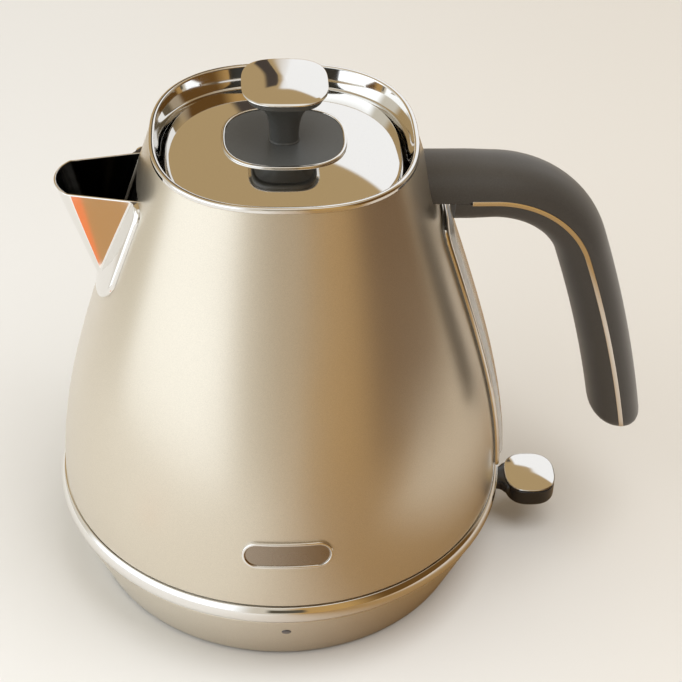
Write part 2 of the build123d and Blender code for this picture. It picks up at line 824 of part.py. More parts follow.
# ---------------------------------------------------------------- lever
paddle_top = arm_bottom + paddle_thickness
with BuildPart() as lever:
    with BuildSketch(Plane.XZ.offset(-arm_half)):
        with Locations((lever_pivot_x, lever_pivot_z)):
            Circle(hub_radius)
        with Locations((lever_pivot_x, arm_bottom)):
            Rectangle(paddle_reach - paddle_half_width + 2, arm_thickness, align=(Align.MIN, Align.MIN))
            Rectangle(tail_reach, tail_thickness, align=(Align.MAX, Align.MIN))
        with Locations((lever_pivot_x, lever_pivot_z)):
            Circle(pin_radius + pin_gap, mode=Mode.SUBTRACT)
    extrude(amount=2 * arm_half)
    # hollow corners that widen the arm into the paddle
    with BuildSketch(Plane.XY.offset(arm_bottom)):
        with BuildLine():
            corner_x = paddle_x - paddle_half_width
            corner_y = arm_half + arm_flare
            Line((paddle_x, -corner_y), (paddle_x, corner_y))
            Line((paddle_x, corner_y), (corner_x, corner_y))
            RadiusArc((corner_x, corner_y), (corner_x - arm_flare, arm_half), arm_flare)
            Line((corner_x - arm_flare, arm_half), (corner_x - arm_flare, -arm_half))
            RadiusArc((corner_x - arm_flare, -arm_half), (corner_x, -corner_y), arm_flare)
            Line((corner_x, -corner_y), (paddle_x, -corner_y))
        make_face()
    extrude(amount=arm_thickness)
    add(squircle_block(paddle_half_width, paddle_half_depth, knob_power,
                       arm_bottom, paddle_top - paddle_cap, paddle_x))
    fillet(edges().group_by(Axis.Z)[0].sort_by(SortBy.LENGTH)[-1], radius=1.0)
save(lever, "lever")

with BuildPart() as lever_cap:
    cap_block = squircle_block(paddle_half_width, paddle_half_depth, knob_power,
                               paddle_top - paddle_cap, paddle_top, paddle_x)
    add(crowned(cap_block, paddle_half_depth, paddle_crown, paddle_top))
    fillet(edges().group_by(Axis.Z)[-1], radius=paddle_crown)
save(lever_cap, "lever_cap")

with BuildPart() as lever_pin:
    with BuildSketch(Plane.XZ.offset(-arm_half - run_gap - ear_thickness)):
        with Locations((lever_pivot_x, lever_pivot_z)):
            Circle(pin_radius)
    extrude(amount=2 * (arm_half + run_gap + ear_thickness))
save(lever_pin, "lever_pin")

# ---------------------------------------------------------------- handle
def handle_line(plane, shift, start_x):
    """Centre line of the handle, moved outward: a level run, a tight bend and a long drop."""
    with BuildLine(plane) as line:
        run = Line((start_x, handle_height + shift), (bend_start, handle_height + shift))
        bend = JernArc(run @ 1, run % 1, bend_radius + shift, -bend_angle)
        JernArc(bend @ 1, bend % 1, drop_radius + shift, -drop_angle)
    return line.line


def handle_strip(shift, start_x, width):
    """Upright ribbon along the handle's centre line, as deep as the handle."""
    with BuildPart() as strip:
        with BuildSketch(Plane.XZ.offset(-handle_half_depth - 5)):
            trace(handle_line(Plane.XY, shift, start_x), line_width=width)
        extrude(amount=2 * handle_half_depth + 10)
    return strip.part


def handle_sweep(grow):
    """The handle's full form: one soft section swept along the centre line, cut at a slant."""
    with BuildPart() as sweep_form:
        with BuildSketch(Plane((root_start, 0, handle_height), x_dir=(0, 1, 0), z_dir=(1, 0, 0))):
            with BuildLine():
                Spline(*squircle(handle_half_depth + grow, handle_half_thickness + grow, handle_power),
                       periodic=True)
            make_face()
        sweep(path=handle_line(Plane.XZ, 0, root_start))
        split(bisect_by=Plane((end_x, 0, end_z), z_dir=Vector(0, 0, -1).rotate(Axis.Y, end_slant)),
              keep=Keep.BOTTOM)
    return sweep_form.part


root_start = rim_half - 2
handle_root = jug_form(skin_gap, handle_height - 40, handle_height + 24, 4)
with BuildPart() as handle_form:
    add(handle_sweep(0))
    end_face = faces().sort_by(Axis.Z)[0]
    fillet(end_face.edges(), radius=end_round)
    add(handle_root, mode=Mode.SUBTRACT)

with BuildPart() as handle_parting:
    add(handle_strip(seam_shift, root_start - 5, 2 * skin_gap))
    add(handle_strip(seam_shift, inlay_start, inlay_thickness + 2 * skin_gap))

with BuildPart() as handle_halves:
    add(handle_form.part)
    add(handle_parting.part, mode=Mode.SUBTRACT)
    add(bracket_block(fit_gap), mode=Mode.SUBTRACT)
    add(bracket_screws(fit_gap), mode=Mode.SUBTRACT)
outer_half, inner_half = handle_halves.part.solids().sort_by(Axis.Z, reverse=True)

with BuildPart() as handle_outer:
    add(outer_half)
save(handle_outer, "handle_outer")

with BuildPart() as handle_inner:
    add(inner_half)
save(handle_inner, "handle_inner")

with BuildPart() as handle_inlay:
    add(handle_strip(seam_shift, inlay_start, inlay_thickness))
    add(handle_sweep(inlay_proud), mode=Mode.INTERSECT)
save(handle_inlay, "handle_inlay")

with BuildPart() as handle_bracket:
    add(bracket_block(0))
    add(bracket_screws(fit_gap), mode=Mode.SUBTRACT)
save(handle_bracket, "handle_bracket")

with BuildPart() as handle_screws:
    add(bracket_screws(0))
save(handle_screws, "handle_screws")

# ---------------------------------------------------------------- water gauge
gauge_bed = jug_form(seal_sheet + 2 * skin_gap, gauge_bottom - 4, gauge_top + 4, 6)
with BuildPart() as gauge_seal:
    add(gauge_outline(1.0, foot_radius + 10))
    add(gauge_outline(gauge_rail + slot_inset, foot_radius + 11), mode=Mode.SUBTRACT)
    add(jug_form(seal_sheet + skin_gap, gauge_bottom - 4, gauge_top + 4, 6), mode=Mode.INTERSECT)
    add(jug_form(skin_gap, gauge_bottom - 4, gauge_top + 4, 6), mode=Mode.SUBTRACT)
save(gauge_seal, "gauge_seal")

with BuildPart() as gauge_frame:
    add(gauge_outline(0, foot_radius + 10))
    add(gauge_outline(gauge_rail, foot_radius + 11), mode=Mode.SUBTRACT)
    add(jug_form(gauge_proud, gauge_bottom - 4, gauge_top + 4, 6), mode=Mode.INTERSECT)
    add(gauge_bed, mode=Mode.SUBTRACT)
save(gauge_frame, "gauge_frame")

with BuildPart() as gauge_window:
    add(gauge_outline(gauge_rail + fit_gap, foot_radius + 10))
    add(jug_form(lens_proud, gauge_bottom - 4, gauge_top + 4, 6), mode=Mode.INTERSECT)
    add(gauge_bed, mode=Mode.SUBTRACT)
save(gauge_window, "gauge_window")

# ---------------------------------------------------------------- badge
with BuildPart() as badge_field_form:
    with BuildSketch(Plane.XZ):
        with Locations((0, badge_level)):
            SlotOverall(badge_width - 2 * badge_rim, badge_height - 2 * badge_rim)
    extrude(amount=foot_radius + 10)
    add(jug_form(badge_proud - badge_sink, badge_level - 12, badge_level + 12, 3), mode=Mode.SUBTRACT)
badge_field = badge_field_form.part

with BuildPart() as badge_plate:
    with BuildSketch(Plane.XZ):
        with Locations((0, badge_level)):
            SlotOverall(badge_width, badge_height)
    extrude(amount=foot_radius + 10)
    add(jug_form(badge_proud, badge_level - 12, badge_level + 12, 3), mode=Mode.INTERSECT)
    add(jug_form(skin_gap, badge_level - 13, badge_level + 13, 3), mode=Mode.SUBTRACT)
    add(badge_field, mode=Mode.SUBTRACT)
save(badge_plate, "badge_plate")

# ---------------------------------------------------------------- lid
with BuildPart() as lid_cover:
    add(squircle_block(lid_half, lid_half, rim_power, lid_face - lid_skirt, lid_face))
    fillet(edges().group_by(Axis.Z)[-1], radius=0.8)
    add(squircle_block(lid_half - lid_sheet, lid_half - lid_sheet, rim_power,
                       lid_face - lid_skirt - 1, lid_face - lid_sheet), mode=Mode.SUBTRACT)
    with BuildSketch(Plane.XY.offset(lid_face - lid_sheet)):
        Circle(screw_radius + fit_gap)
    extrude(amount=lid_sheet, mode=Mode.SUBTRACT)
save(lid_cover, "lid_cover")

plug_half = mouth_half - run_gap - seal_reach
plug_low = plug_flange_low - plug_depth
seal_top = plug_flange_low - seal_drop
cup_half = plug_half - groove_depth - plug_wall
with BuildPart() as lid_plug:
    add(squircle_block(lid_half - lid_sheet - fit_gap, lid_half - lid_sheet - fit_gap, rim_power,
                       plug_flange_low, plug_flange_top))
    add(squircle_block(plug_half, plug_half, rim_power, plug_low, plug_flange_low))
    # groove for the seal
    add(squircle_ring(plug_half + 5, plug_half - groove_depth, rim_power, seal_top - seal_height, seal_top),
        mode=Mode.SUBTRACT)
    # hollow under the cover, with a boss for the knob's screw
    with BuildSketch(Plane.XY.offset(plug_low + plug_wall)):
        with BuildLine():
            Spline(*squircle(cup_half, cup_half, rim_power), periodic=True)
        make_face()
        Circle(boss_wall + screw_head, mode=Mode.SUBTRACT)
    extrude(amount=plug_flange_top - plug_low - plug_wall, mode=Mode.SUBTRACT)
    add(screws(0, 1, 0, plug_low, knob_screw_length, fit_gap), mode=Mode.SUBTRACT)
save(lid_plug, "lid_plug")

with BuildPart() as lid_seal:
    add(squircle_ring(mouth_half - run_gap, plug_half - groove_depth + skin_gap, rim_power,
                      seal_top - seal_height, seal_top))
save(lid_seal, "lid_seal")

with BuildPart() as lid_screw:
    add(screws(0, 1, 0, plug_low, knob_screw_length))
save(lid_screw, "lid_screw")

# ---------------------------------------------------------------- knob
with BuildPart() as knob_base:
    add(squircle_block(neck_half_width, neck_half_depth, knob_power, lid_face, knob_face))
    add(squircle_block(plate_half_width - trim_width - skin_gap, plate_half_depth - trim_width - skin_gap,
                       knob_power, knob_face, stem_foot))
    for share, spread in ((0, 1), (0.38, 0.97), (0.68, 1.2), (0.87, 1.7), (1, stem_flare)):
        with BuildSketch(Plane.XY.offset(stem_foot + share * stem_height)):
            with BuildLine():
                Spline(*squircle(stem_half * spread, stem_half * spread, knob_power), periodic=True)
            make_face()
    loft()
    add(screws(0, 1, 0, plug_low, knob_screw_length, fit_gap), mode=Mode.SUBTRACT)
save(knob_base, "knob_base")

with BuildPart() as knob_trim:
    add(squircle_block(plate_half_width, plate_half_depth, knob_power, knob_face, stem_foot + 0.3))
    fillet(edges().group_by(Axis.Z)[-1], radius=0.5)
    add(squircle_block(plate_half_width - trim_width, plate_half_depth - trim_width, knob_power,
                       knob_face - 1, stem_foot + 1), mode=Mode.SUBTRACT)
save(knob_trim, "knob_trim")

with BuildPart() as knob_bed:
    add(squircle_block(cap_half_width - 1.4, cap_half_depth - 1.4, knob_power,
                       cap_bed, cap_bed + cap_bed_thickness))
    fillet(edges().group_by(Axis.Z)[0], radius=1.2)
save(knob_bed, "knob_bed")

with BuildPart() as knob_cap:
    cushion = squircle_block(cap_half_width, cap_half_depth, knob_power,
                             cap_bed + cap_bed_thickness, cap_bed + cap_bed_thickness + cap_thickness)
    add(crowned(cushion, cap_half_depth, cap_crown, cap_bed + cap_bed_thickness + cap_thickness))
    fillet(edges().group_by(Axis.Z)[-1], radius=0.5 * cap_thickness)
    fillet(edges().group_by(Axis.Z)[0], radius=0.2 * cap_thickness)
save(knob_cap, "knob_cap")
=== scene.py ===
"""Electric kettle: the finished surfaces, materials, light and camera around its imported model."""

from math import cos, pi, radians, sin, sqrt

import bmesh
import bpy
import numpy as np
from bpy.props import FloatProperty, FloatVectorProperty, PointerProperty
from mathutils import Matrix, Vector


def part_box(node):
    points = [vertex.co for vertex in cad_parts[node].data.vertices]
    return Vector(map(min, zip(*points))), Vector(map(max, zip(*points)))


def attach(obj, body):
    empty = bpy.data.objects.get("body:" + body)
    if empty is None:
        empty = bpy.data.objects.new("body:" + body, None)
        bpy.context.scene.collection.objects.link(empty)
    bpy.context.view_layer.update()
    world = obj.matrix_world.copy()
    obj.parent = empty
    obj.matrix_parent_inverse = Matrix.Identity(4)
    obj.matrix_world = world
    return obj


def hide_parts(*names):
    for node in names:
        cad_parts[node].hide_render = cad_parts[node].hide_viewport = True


bl_info = {
    "name": "Electric kettle",
    "version": (1, 0, 0),
    "blender": (4, 5, 0),
    "location": "View3D > Sidebar > Kettle",
    "description": "Builds an electric kettle's finished surfaces, its materials and a plain studio",
    "category": "Add Mesh",
}

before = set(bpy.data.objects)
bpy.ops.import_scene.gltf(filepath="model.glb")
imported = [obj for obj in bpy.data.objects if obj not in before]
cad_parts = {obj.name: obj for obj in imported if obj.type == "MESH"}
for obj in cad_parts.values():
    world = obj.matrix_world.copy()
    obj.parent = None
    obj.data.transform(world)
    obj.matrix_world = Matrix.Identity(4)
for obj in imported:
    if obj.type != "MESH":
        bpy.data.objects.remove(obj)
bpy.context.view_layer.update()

MM = 0.001
shell_low, shell_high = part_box("body_shell")
collar_low, collar_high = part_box("rim_collar")
ring_low, ring_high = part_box("bottom_ring")
base_low, base_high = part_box("base_housing")
cover_low, cover_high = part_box("lid_cover")
plate_low, plate_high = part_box("knob_trim")
cap_low, cap_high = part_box("knob_cap")
bed_low, bed_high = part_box("knob_bed")
paddle_low, paddle_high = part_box("lever_cap")
arm_low, arm_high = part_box("lever")
badge_low, badge_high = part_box("badge_plate")
lamp_low, lamp_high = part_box("lamp_lens")


# Points nearer than this are one point, and edges shorter than this are dropped, in metres.
SAME_POINT, NO_LENGTH = 2e-6, 1e-7


def length(name, default, description):
    """A length that the user can change, in metres."""
    return FloatProperty(name=name, description=description, default=default, unit="LENGTH", precision=5)


def number(name, default, description):
    """A plain number that the user can change."""
    return FloatProperty(name=name, description=description, default=default, precision=4)


def colour(name, default, description):
    """A linear colour that the user can change."""
    return FloatVectorProperty(
        name=name, description=description, default=default, size=3, subtype="COLOR", min=0.0, max=1.0
    )


# ---------------------------------------------------------------- sizes and colours
class KettleJug(bpy.types.PropertyGroup):
    """Outer form of the jug and of the round pieces under it."""

    foot: length("Foot radius", shell_high.y, "Radius of the painted shell at its lower edge")
    foot_level: length("Foot level", shell_low.z, "Height of the shell's lower edge")
    rim: length("Rim half-width", collar_high.y - 0.2 * MM, "Half-width of the shell at its top edge")
    rim_level: length("Rim level", shell_high.z, "Height of the shell's top edge")
    foot_pull: length("Foot pull", 41 * MM, "How far the flank rises upright before it leans in")
    shoulder_pull: length("Shoulder pull", 68 * MM, "How far the flank runs straight below the rim")
    shoulder_lean: number("Shoulder lean", 0.314, "Sideways lean of the straight run per height")
    rim_power: number("Rim squareness", 2.5, "Squareness of the rim; 2 is a circle")
    wall: length("Wall", 1.0 * MM, "Thickness of the shell")
    ring_bulge: number("Ring bulge level", 0.45, "Level of the ring's widest line as a share of its height")
    ring_depth: length("Ring depth", 5.6 * MM, "Radial thickness of the chrome ring")
    skirt_foot: length("Skirt foot radius", 72.9 * MM, "Radius of the base's skirt at its lower edge")
    skirt_wall: length("Skirt wall", 2.4 * MM, "Thickness of the base's skirt")
    deck_level: length("Deck level", 25.6 * MM, "Height of the base's deck under the jug")
    slot_foot: length("Slot foot", 14.6 * MM, "Lower edge of the lever's slot")


class KettleSpout(bpy.types.PropertyGroup):
    """Beak of the spout and its flange on the shell."""

    top: length("Top", 166.2 * MM, "Height of the open top")
    depth: length("Depth", 48 * MM, "Height from the open top to the lower end")
    tip_top: length("Tip at the top", 80.2 * MM, "Distance of the tip from the axis at the top")
    tip_low: length("Tip at the lower end", 64.4 * MM, "Distance of the tip from the axis at the lower end")
    nose_top: length("Nose half-width at the top", 10.8 * MM, "Half-width of the blunt tip at the top")
    nose_low: length("Nose half-width below", 4.6 * MM, "Half-width of the blunt tip at the lower end")
    bow_top: length("Nose bow at the top", 5 * MM, "How far the blunt tip bulges at the top")
    bow_low: length("Nose bow below", 2.4 * MM, "How far the blunt tip bulges at the lower end")
    root: length("Root distance", 40 * MM, "Distance of the side walls' roots from the axis")
    root_top: length("Root half-width at the top", 17.9 * MM, "Half-width at the walls' roots at the top")
    root_low: length("Root half-width below", 9 * MM, "Half-width at the walls' roots at the lower end")
    wall: length("Wall", 0.9 * MM, "Thickness of the spout's sheet")
    flange_half: length("Flange half-width", 22.2 * MM, "Half-width of the flange")
    flange_foot: length("Flange foot", 121.5 * MM, "Lowest point of the flange")
    flange_bow: length("Flange bow", 13.5 * MM, "Height of the flange's rounded lower end")
    flange_corner: length("Flange corner", 4 * MM, "Radius of the flange's upper corners")
    flange_proud: length("Flange thickness", 1.8 * MM, "How far the flange stands out of the shell")


class KettleLid(bpy.types.PropertyGroup):
    """Collar in the jug's mouth, the lid and its knob."""

    funnel_rim: length("Bead width", 1.6 * MM, "Width of the chrome bead around the mouth")
    mouth: length("Mouth half-width", 38.6 * MM, "Half-width of the clear mouth")
    ledge: length("Ledge level", 174.4 * MM, "Height of the ledge that carries the lid")
    crown: length("Lid crown", 5.5 * MM, "Rise of the lid's domed face towards the knob")
    crown_power: number("Dome power", 2.3, "How late the dome falls towards its edge")
    crown_flat: length("Dome flat", 4.6 * MM, "Height at which the dome is cut flat under the knob's plate")
    cover_power: number("Lid squareness", 2.5, "Squareness of the lid's outline")
    knob_power: number("Knob squareness", 2.6, "Squareness of the knob's outlines")
    neck_width: length("Neck half-width", 14 * MM, "Half-width of the knob's foot")
    neck_depth: length("Neck half-depth", 16.4 * MM, "Half-depth of the knob's foot")
    trim: length("Trim width", 1.3 * MM, "Width of the chrome ring around the plate")
    stem: length("Stem half-width", 5.1 * MM, "Half-width of the stem")
    stem_flare: number("Stem flare", 2.35, "How much wider the stem is under the cap")
    flare_power: number("Flare power", 3.0, "How late the flare sets in")
    cap_power: number("Cap squareness", 3.0, "Squareness of the knob's chrome cap")
    cap_crown: length("Cap crown", 1.3 * MM, "Rise of the cap's top face towards its middle")
    cap_seam: length("Cap seam", 1.6 * MM, "Height of the dark bed's edge above the cap's foot")


class KettleHandle(bpy.types.PropertyGroup):
    """Centre line and section of the handle."""

    level: length("Level", 162.8 * MM, "Height of the centre line where it leaves the jug")
    bend_start: length("Bend start", 73.6 * MM, "Distance from the axis where the bend starts")
    bend_radius: length("Bend radius", 36 * MM, "Radius of the tight bend")
    bend_angle: FloatProperty(
        name="Bend angle", description="Turn of the tight bend", default=radians(70.6), subtype="ANGLE"
    )
    drop_radius: length("Drop radius", 550 * MM, "Radius of the long drop")
    half_depth: length("Half-depth", 14.6 * MM, "Half-width of the grip across the kettle")
    half_thickness: length("Half-thickness", 9.63 * MM, "Half the grip's thickness")
    power: number("Squareness", 2.3, "Squareness of the grip's section")
    seam: length("Seam shift", 1.0 * MM, "Distance of the seam outside the centre line")
    root_swell: length("Root swell", 0.52 * MM, "How much thicker the grip is over its bracket")
    inner_start: length("Inner half's start", 59.5 * MM, "Distance from the axis where the inner half starts")
    inlay: length("Inlay thickness", 1.8 * MM, "Thickness of the chrome strip in the seam")
    inlay_start: length("Inlay start", 65 * MM, "Distance from the axis where the strip starts")
    inlay_proud: length("Inlay height", 0.15 * MM, "How far the strip stands out of the grip")
    end_distance: length("End distance", 126 * MM, "Distance from the axis of a point of the slanted end")
    end_level: length("End level", 58.0 * MM, "Height of that point")
    end_slant: FloatProperty(
        name="End slant", description="Fall of the end towards its outer side", default=radians(8),
        subtype="ANGLE",
    )
    end_round: length("End rounding", 4.5 * MM, "Radius of the end's edges")


class KettleGauge(bpy.types.PropertyGroup):
    """Water gauge, badge and lever."""

    top: length("Top", 152.4 * MM, "Upper edge of the gauge's frame")
    foot: length("Foot", 41.5 * MM, "Lower edge of the gauge's frame")
    top_half: length("Half-width at the top", 15.5 * MM, "Half-width of the frame at its upper edge")
    foot_half: length("Half-width at the foot", 19.3 * MM, "Half-width of the frame at its lower edge")
    rail: length("Rail", 4.2 * MM, "Width of the frame's rails")
    corner: length("Corner", 6 * MM, "Radius of the frame's corners")
    proud: length("Frame height", 2.0 * MM, "How far the frame stands out of the shell")
    lens_proud: length("Window height", 3.0 * MM, "How far the window stands out of the shell")
    seat: length("Seal thickness", 0.6 * MM, "Distance of the frame's underside from the shell")
    slot_inset: length("Slot inset", 4 * MM, "How much narrower the shell's slot is than the window")
    badge_rim: length("Badge rim", 1.0 * MM, "Width of the badge's raised rim")
    badge_proud: length("Badge height", 1.1 * MM, "How far the badge stands out of the shell")
    badge_sink: length("Badge field depth", 0.5 * MM, "Depth of the badge's sunk face")
    arm_half: length("Arm half-width", 4.7 * MM, "Half-width of the lever's arm")
    pivot: length("Pivot distance", 66 * MM, "Distance of the lever's pin from the axis")


class KettleFinish(bpy.types.PropertyGroup):
    """Colours of the finishes."""

    paint: colour("Paint", (0.73, 0.67, 0.56), "Satin metallic paint")
    chrome: colour("Chrome", (0.86, 0.85, 0.83), "Polished chrome")
    grip: colour("Grip", (0.036, 0.032, 0.027), "Soft-touch grip")
    knob: colour("Knob", (0.068, 0.070, 0.067), "Knob's plastic")
    black: colour("Black plastic", (0.012, 0.012, 0.013), "Lever's plastic")
    inner: colour("Inner plastic", (0.022, 0.022, 0.023), "Plain moulded plastic out of sight")
    floor: colour("Floor", (0.79, 0.80, 0.80), "Floor and backdrop")


class KettleStage(bpy.types.PropertyGroup):
    """Camera and light."""

    focal: FloatProperty(name="Focal length", description="Camera's focal length in mm", default=101.71)
    camera_place: FloatVectorProperty(
        name="Camera place", description="Where the camera stands", size=3, subtype="TRANSLATION",
        default=(-0.0200, -0.5619, 0.5454),
    )
    camera_right: FloatVectorProperty(
        name="Camera right", description="Direction to the view's right", size=3,
        default=(0.99823, -0.05237, 0.02803),
    )
    camera_up: FloatVectorProperty(
        name="Camera up", description="Direction to the view's top", size=3,
        default=(0.01108, 0.62776, 0.77832),
    )
    world_strength: number("World strength", 1.0, "Strength of the room's light from all sides")
    key_power: number("Key power", 3.0, "Power of the window-like lamp in watts")
    fill_power: number("Fill power", 13.0, "Power of the fill lamp in watts")


SIZE_GROUPS = {
    "kettle_jug": KettleJug,
    "kettle_spout": KettleSpout,
    "kettle_lid": KettleLid,
    "kettle_handle": KettleHandle,
    "kettle_gauge": KettleGauge,
    "kettle_finish": KettleFinish,
    "kettle_stage": KettleStage,
}


# ---------------------------------------------------------------- mesh tools
def grid_faces(rows, columns, wrap_rows, wrap_columns):
    """Quads between neighbours of a grid of rows x columns points, closed round where asked."""
    row = np.arange(rows if wrap_rows else rows - 1)
    column = np.arange(columns if wrap_columns else columns - 1)
    a, b = np.meshgrid(row, column, indexing="ij")
    next_a, next_b = (a + 1) % rows, (b + 1) % columns
    here, above = a * columns, next_a * columns
    return np.stack([here + b, here + next_b, above + next_b, above + b], -1)


def add_piece(name, sheets, finish_name, body, node):
    """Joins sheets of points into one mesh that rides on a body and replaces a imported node.

    Each sheet is (points[row, column, xyz], wrap_rows, wrap_columns, keep[row, column] or None).
    Poles and seams are merged and the faces are turned outwards.
    """
    points, faces, start = [], [], 0
    for sheet, wrap_rows, wrap_columns, keep in sheets:
        rows, columns = sheet.shape[:2]
        quads = grid_faces(rows, columns, wrap_rows, wrap_columns)
        if keep is not None:
            quads = quads[keep]
        faces.append(quads.reshape(-1, 4) + start)
        points.append(sheet.reshape(-1, 3))
        start += rows * columns
    mesh = bpy.data.meshes.new(name)
    mesh.from_pydata(np.concatenate(points).tolist(), [], np.concatenate(faces).tolist())
    work = bmesh.new()
    work.from_mesh(mesh)
    bmesh.ops.remove_doubles(work, verts=work.verts, dist=SAME_POINT)
    bmesh.ops.dissolve_degenerate(work, edges=work.edges, dist=NO_LENGTH)
    loose = [vertex for vertex in work.verts if not vertex.link_faces]
    bmesh.ops.delete(work, geom=loose, context="VERTS")
    bmesh.ops.recalc_face_normals(work, faces=work.faces)
    for face in work.faces:
        face.smooth = True
    work.to_mesh(mesh)
    work.free()
    mesh.materials.append(bpy.data.materials[finish_name])
    piece = bpy.data.objects.new(name, mesh)
    bpy.context.scene.collection.objects.link(piece)
    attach(piece, body)
    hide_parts(node)
    return piece


def thicken(piece, wall, edge, segments, limit):
    """Gives an open sheet a wall on its inner side, where one is asked for, and rounds the sharp edges."""
    if wall:
        solid = piece.modifiers.new("Wall", "SOLIDIFY")
        solid.thickness = wall
        solid.offset = -1.0
        solid.use_even_offset = True
    bevel = piece.modifiers.new("Edges", "BEVEL")
    bevel.width = edge
    bevel.segments = segments
    bevel.limit_method = "ANGLE"
    bevel.angle_limit = limit
    bevel.harden_normals = True


def levels_through(marks, counts):
    """Heights that go through every mark in turn, with a count of even steps between two marks."""
    spans = zip(marks, marks[1:], counts)
    runs = [np.linspace(low, high, count, endpoint=False) for low, high, count in spans]
    return np.concatenate([*runs, marks[-1:]])


def turns_through(edges, columns):
    """Turns of a sheet's columns: the given columns follow the edges, and the others lie evenly between."""
    weights = np.array([np.interp(np.arange(columns[-1]), columns, unit) for unit in np.eye(len(columns))])
    return np.stack(edges, 1) @ weights


def cut_out(level, low, high, columns, part):
    """Faces between two heights, and between one of the given columns and the next one."""
    middle, column = (level[:-1] + level[1:]) / 2, np.arange(columns[-1])
    inside = (column >= columns[part]) & (column < columns[part + 1])
    return ((middle > low) & (middle < high))[:, None] & inside


def pole(row):
    """The middle of a row of points, as a row of its own that closes the sheet there."""
    return row.mean(1, keepdims=True) + 0 * row


def roundover(radius, steps):
    """Steps over a rounded edge, from its foot: (inset, drop) = (r - r cos a, r - r sin a)."""
    return [(radius * (1 - cos(a)), radius * (1 - sin(a))) for a in np.linspace(0, pi / 2, steps)]


def level_run(start, end, count, height):
    """Outline (offset, height) that runs from a start to an end at one height."""
    return np.stack([np.linspace(start, end, count), np.full(count, height)], 1)


def rounded(corners, radii, closed=True, steps=6, hold=0.12 * MM):
    """A flat outline (n, 2) with arcs in its corners and a holding point beside each arc.

    At each corner of radius r the arc touches both sides at r * tan(turn / 2) from the corner.
    """
    corners = np.asarray(corners, float)
    count = len(corners)
    outline = []
    for index in range(count):
        corner, radius = corners[index], radii[index]
        if radius == 0 or (not closed and index in (0, count - 1)):
            outline.append(corner)
            continue
        back, ahead = corners[index - 1] - corner, corners[(index + 1) % count] - corner
        back, ahead = back / np.linalg.norm(back), ahead / np.linalg.norm(ahead)
        half_open = np.arccos(np.clip(back @ ahead, -1, 1)) / 2
        reach = radius / np.tan(half_open)
        bisector = (back + ahead) / np.linalg.norm(back + ahead)
        centre = corner + bisector * radius / np.sin(half_open)
        first, last = corner + back * reach - centre, corner + ahead * reach - centre
        share = np.linspace(0, 1, steps + 1)[:, None]
        sweep = np.pi - 2 * half_open
        arc = (np.sin((1 - share) * sweep) * first + np.sin(share * sweep) * last) / np.sin(sweep)
        outline.extend([corner + back * (reach + hold), *(centre + arc), corner + ahead * (reach + hold)])
    return np.array(outline)


def crowned(low, high, inside, radii, first, count, steps=6, lift=0.0, drop=0.0):
    """Outline (offset, height) of a cap: its side, a rounded edge and a top face curved like a pillow.

    The top face has count points, from the offset first to the middle. With q from 0 in the middle
    to 1 at the edge, it is raised by lift * (1 - q^2) and lowered by drop * q^2, and the side
    follows in proportion to its height.
    """
    corners = [(-inside, low), (0, low), (0, high), (-inside, high)]
    side = rounded(corners, [0, *radii, 0], closed=False, steps=steps)[:-1]
    outline = np.concatenate([side, level_run(first, -inside, count, high)])
    rise = np.clip((outline[:, 1] - low) / (high - low), 0, 1)
    q = (outline[:, 0] + inside) / inside
    outline[:, 1] += rise * (lift * (1 - q**2) - drop * q**2)
    return outline


def squircle(turn, power):
    """Distance from the centre to |x|^power + |y|^power = 1 in the direction turn."""
    return (np.abs(np.cos(turn)) ** power + np.abs(np.sin(turn)) ** power) ** (-1 / power)


def around(rows, power, columns):
    """Carries rows of (half-width, half-depth, height) round a squircle outline.

    Point = (half-width * reach(turn) * cos(turn), half-depth * reach(turn) * sin(turn), height).
    """
    turn = np.linspace(0, 2 * pi, columns, endpoint=False)
    reach = squircle(turn, power)
    rows = np.asarray(rows, float)
    width, depth, level = rows[:, :1], rows[:, 1:2], rows[:, 2:]
    return np.stack([width * reach * np.cos(turn), depth * reach * np.sin(turn), level + 0 * turn], -1)


def grown(outline, width, depth):
    """Rows for around() from an outline of (offset, height) and an outline's half-width and half-depth."""
    offset, height = outline[:, 0], outline[:, 1]
    return np.stack([np.maximum(width + offset, 0), np.maximum(depth + offset, 0), height], 1)


def turned(outline):
    """Rows for around() from an outline of (radius, height)."""
    return np.stack([outline[:, 0], outline[:, 0], outline[:, 1]], 1)


def arc_through(first, middle, last, steps):
    """Points of the circle through three flat points, found from the centre that is equally far from them."""
    a, b, c = (np.asarray(point, float) for point in (first, middle, last))
    matrix = 2 * np.array([b - a, c - a])
    centre = np.linalg.solve(matrix, [b @ b - a @ a, c @ c - a @ a])
    start, end = np.arctan2(*(a - centre)[::-1]), np.arctan2(*(c - centre)[::-1])
    turn = np.linspace(start, end, steps)
    return centre + np.linalg.norm(a - centre) * np.stack([np.cos(turn), np.sin(turn)], 1)


def bisect(function, low, high, steps=40):
    """Where a falling function crosses zero, for whole arrays at once: the bracket is halved each step."""
    low, high = np.array(low, float), np.array(high, float)
    for _ in range(steps):
        middle = (low + high) / 2
        above = function(middle) > 0
        low, high = np.where(above, middle, low), np.where(above, high, middle)
    return (low + high) / 2


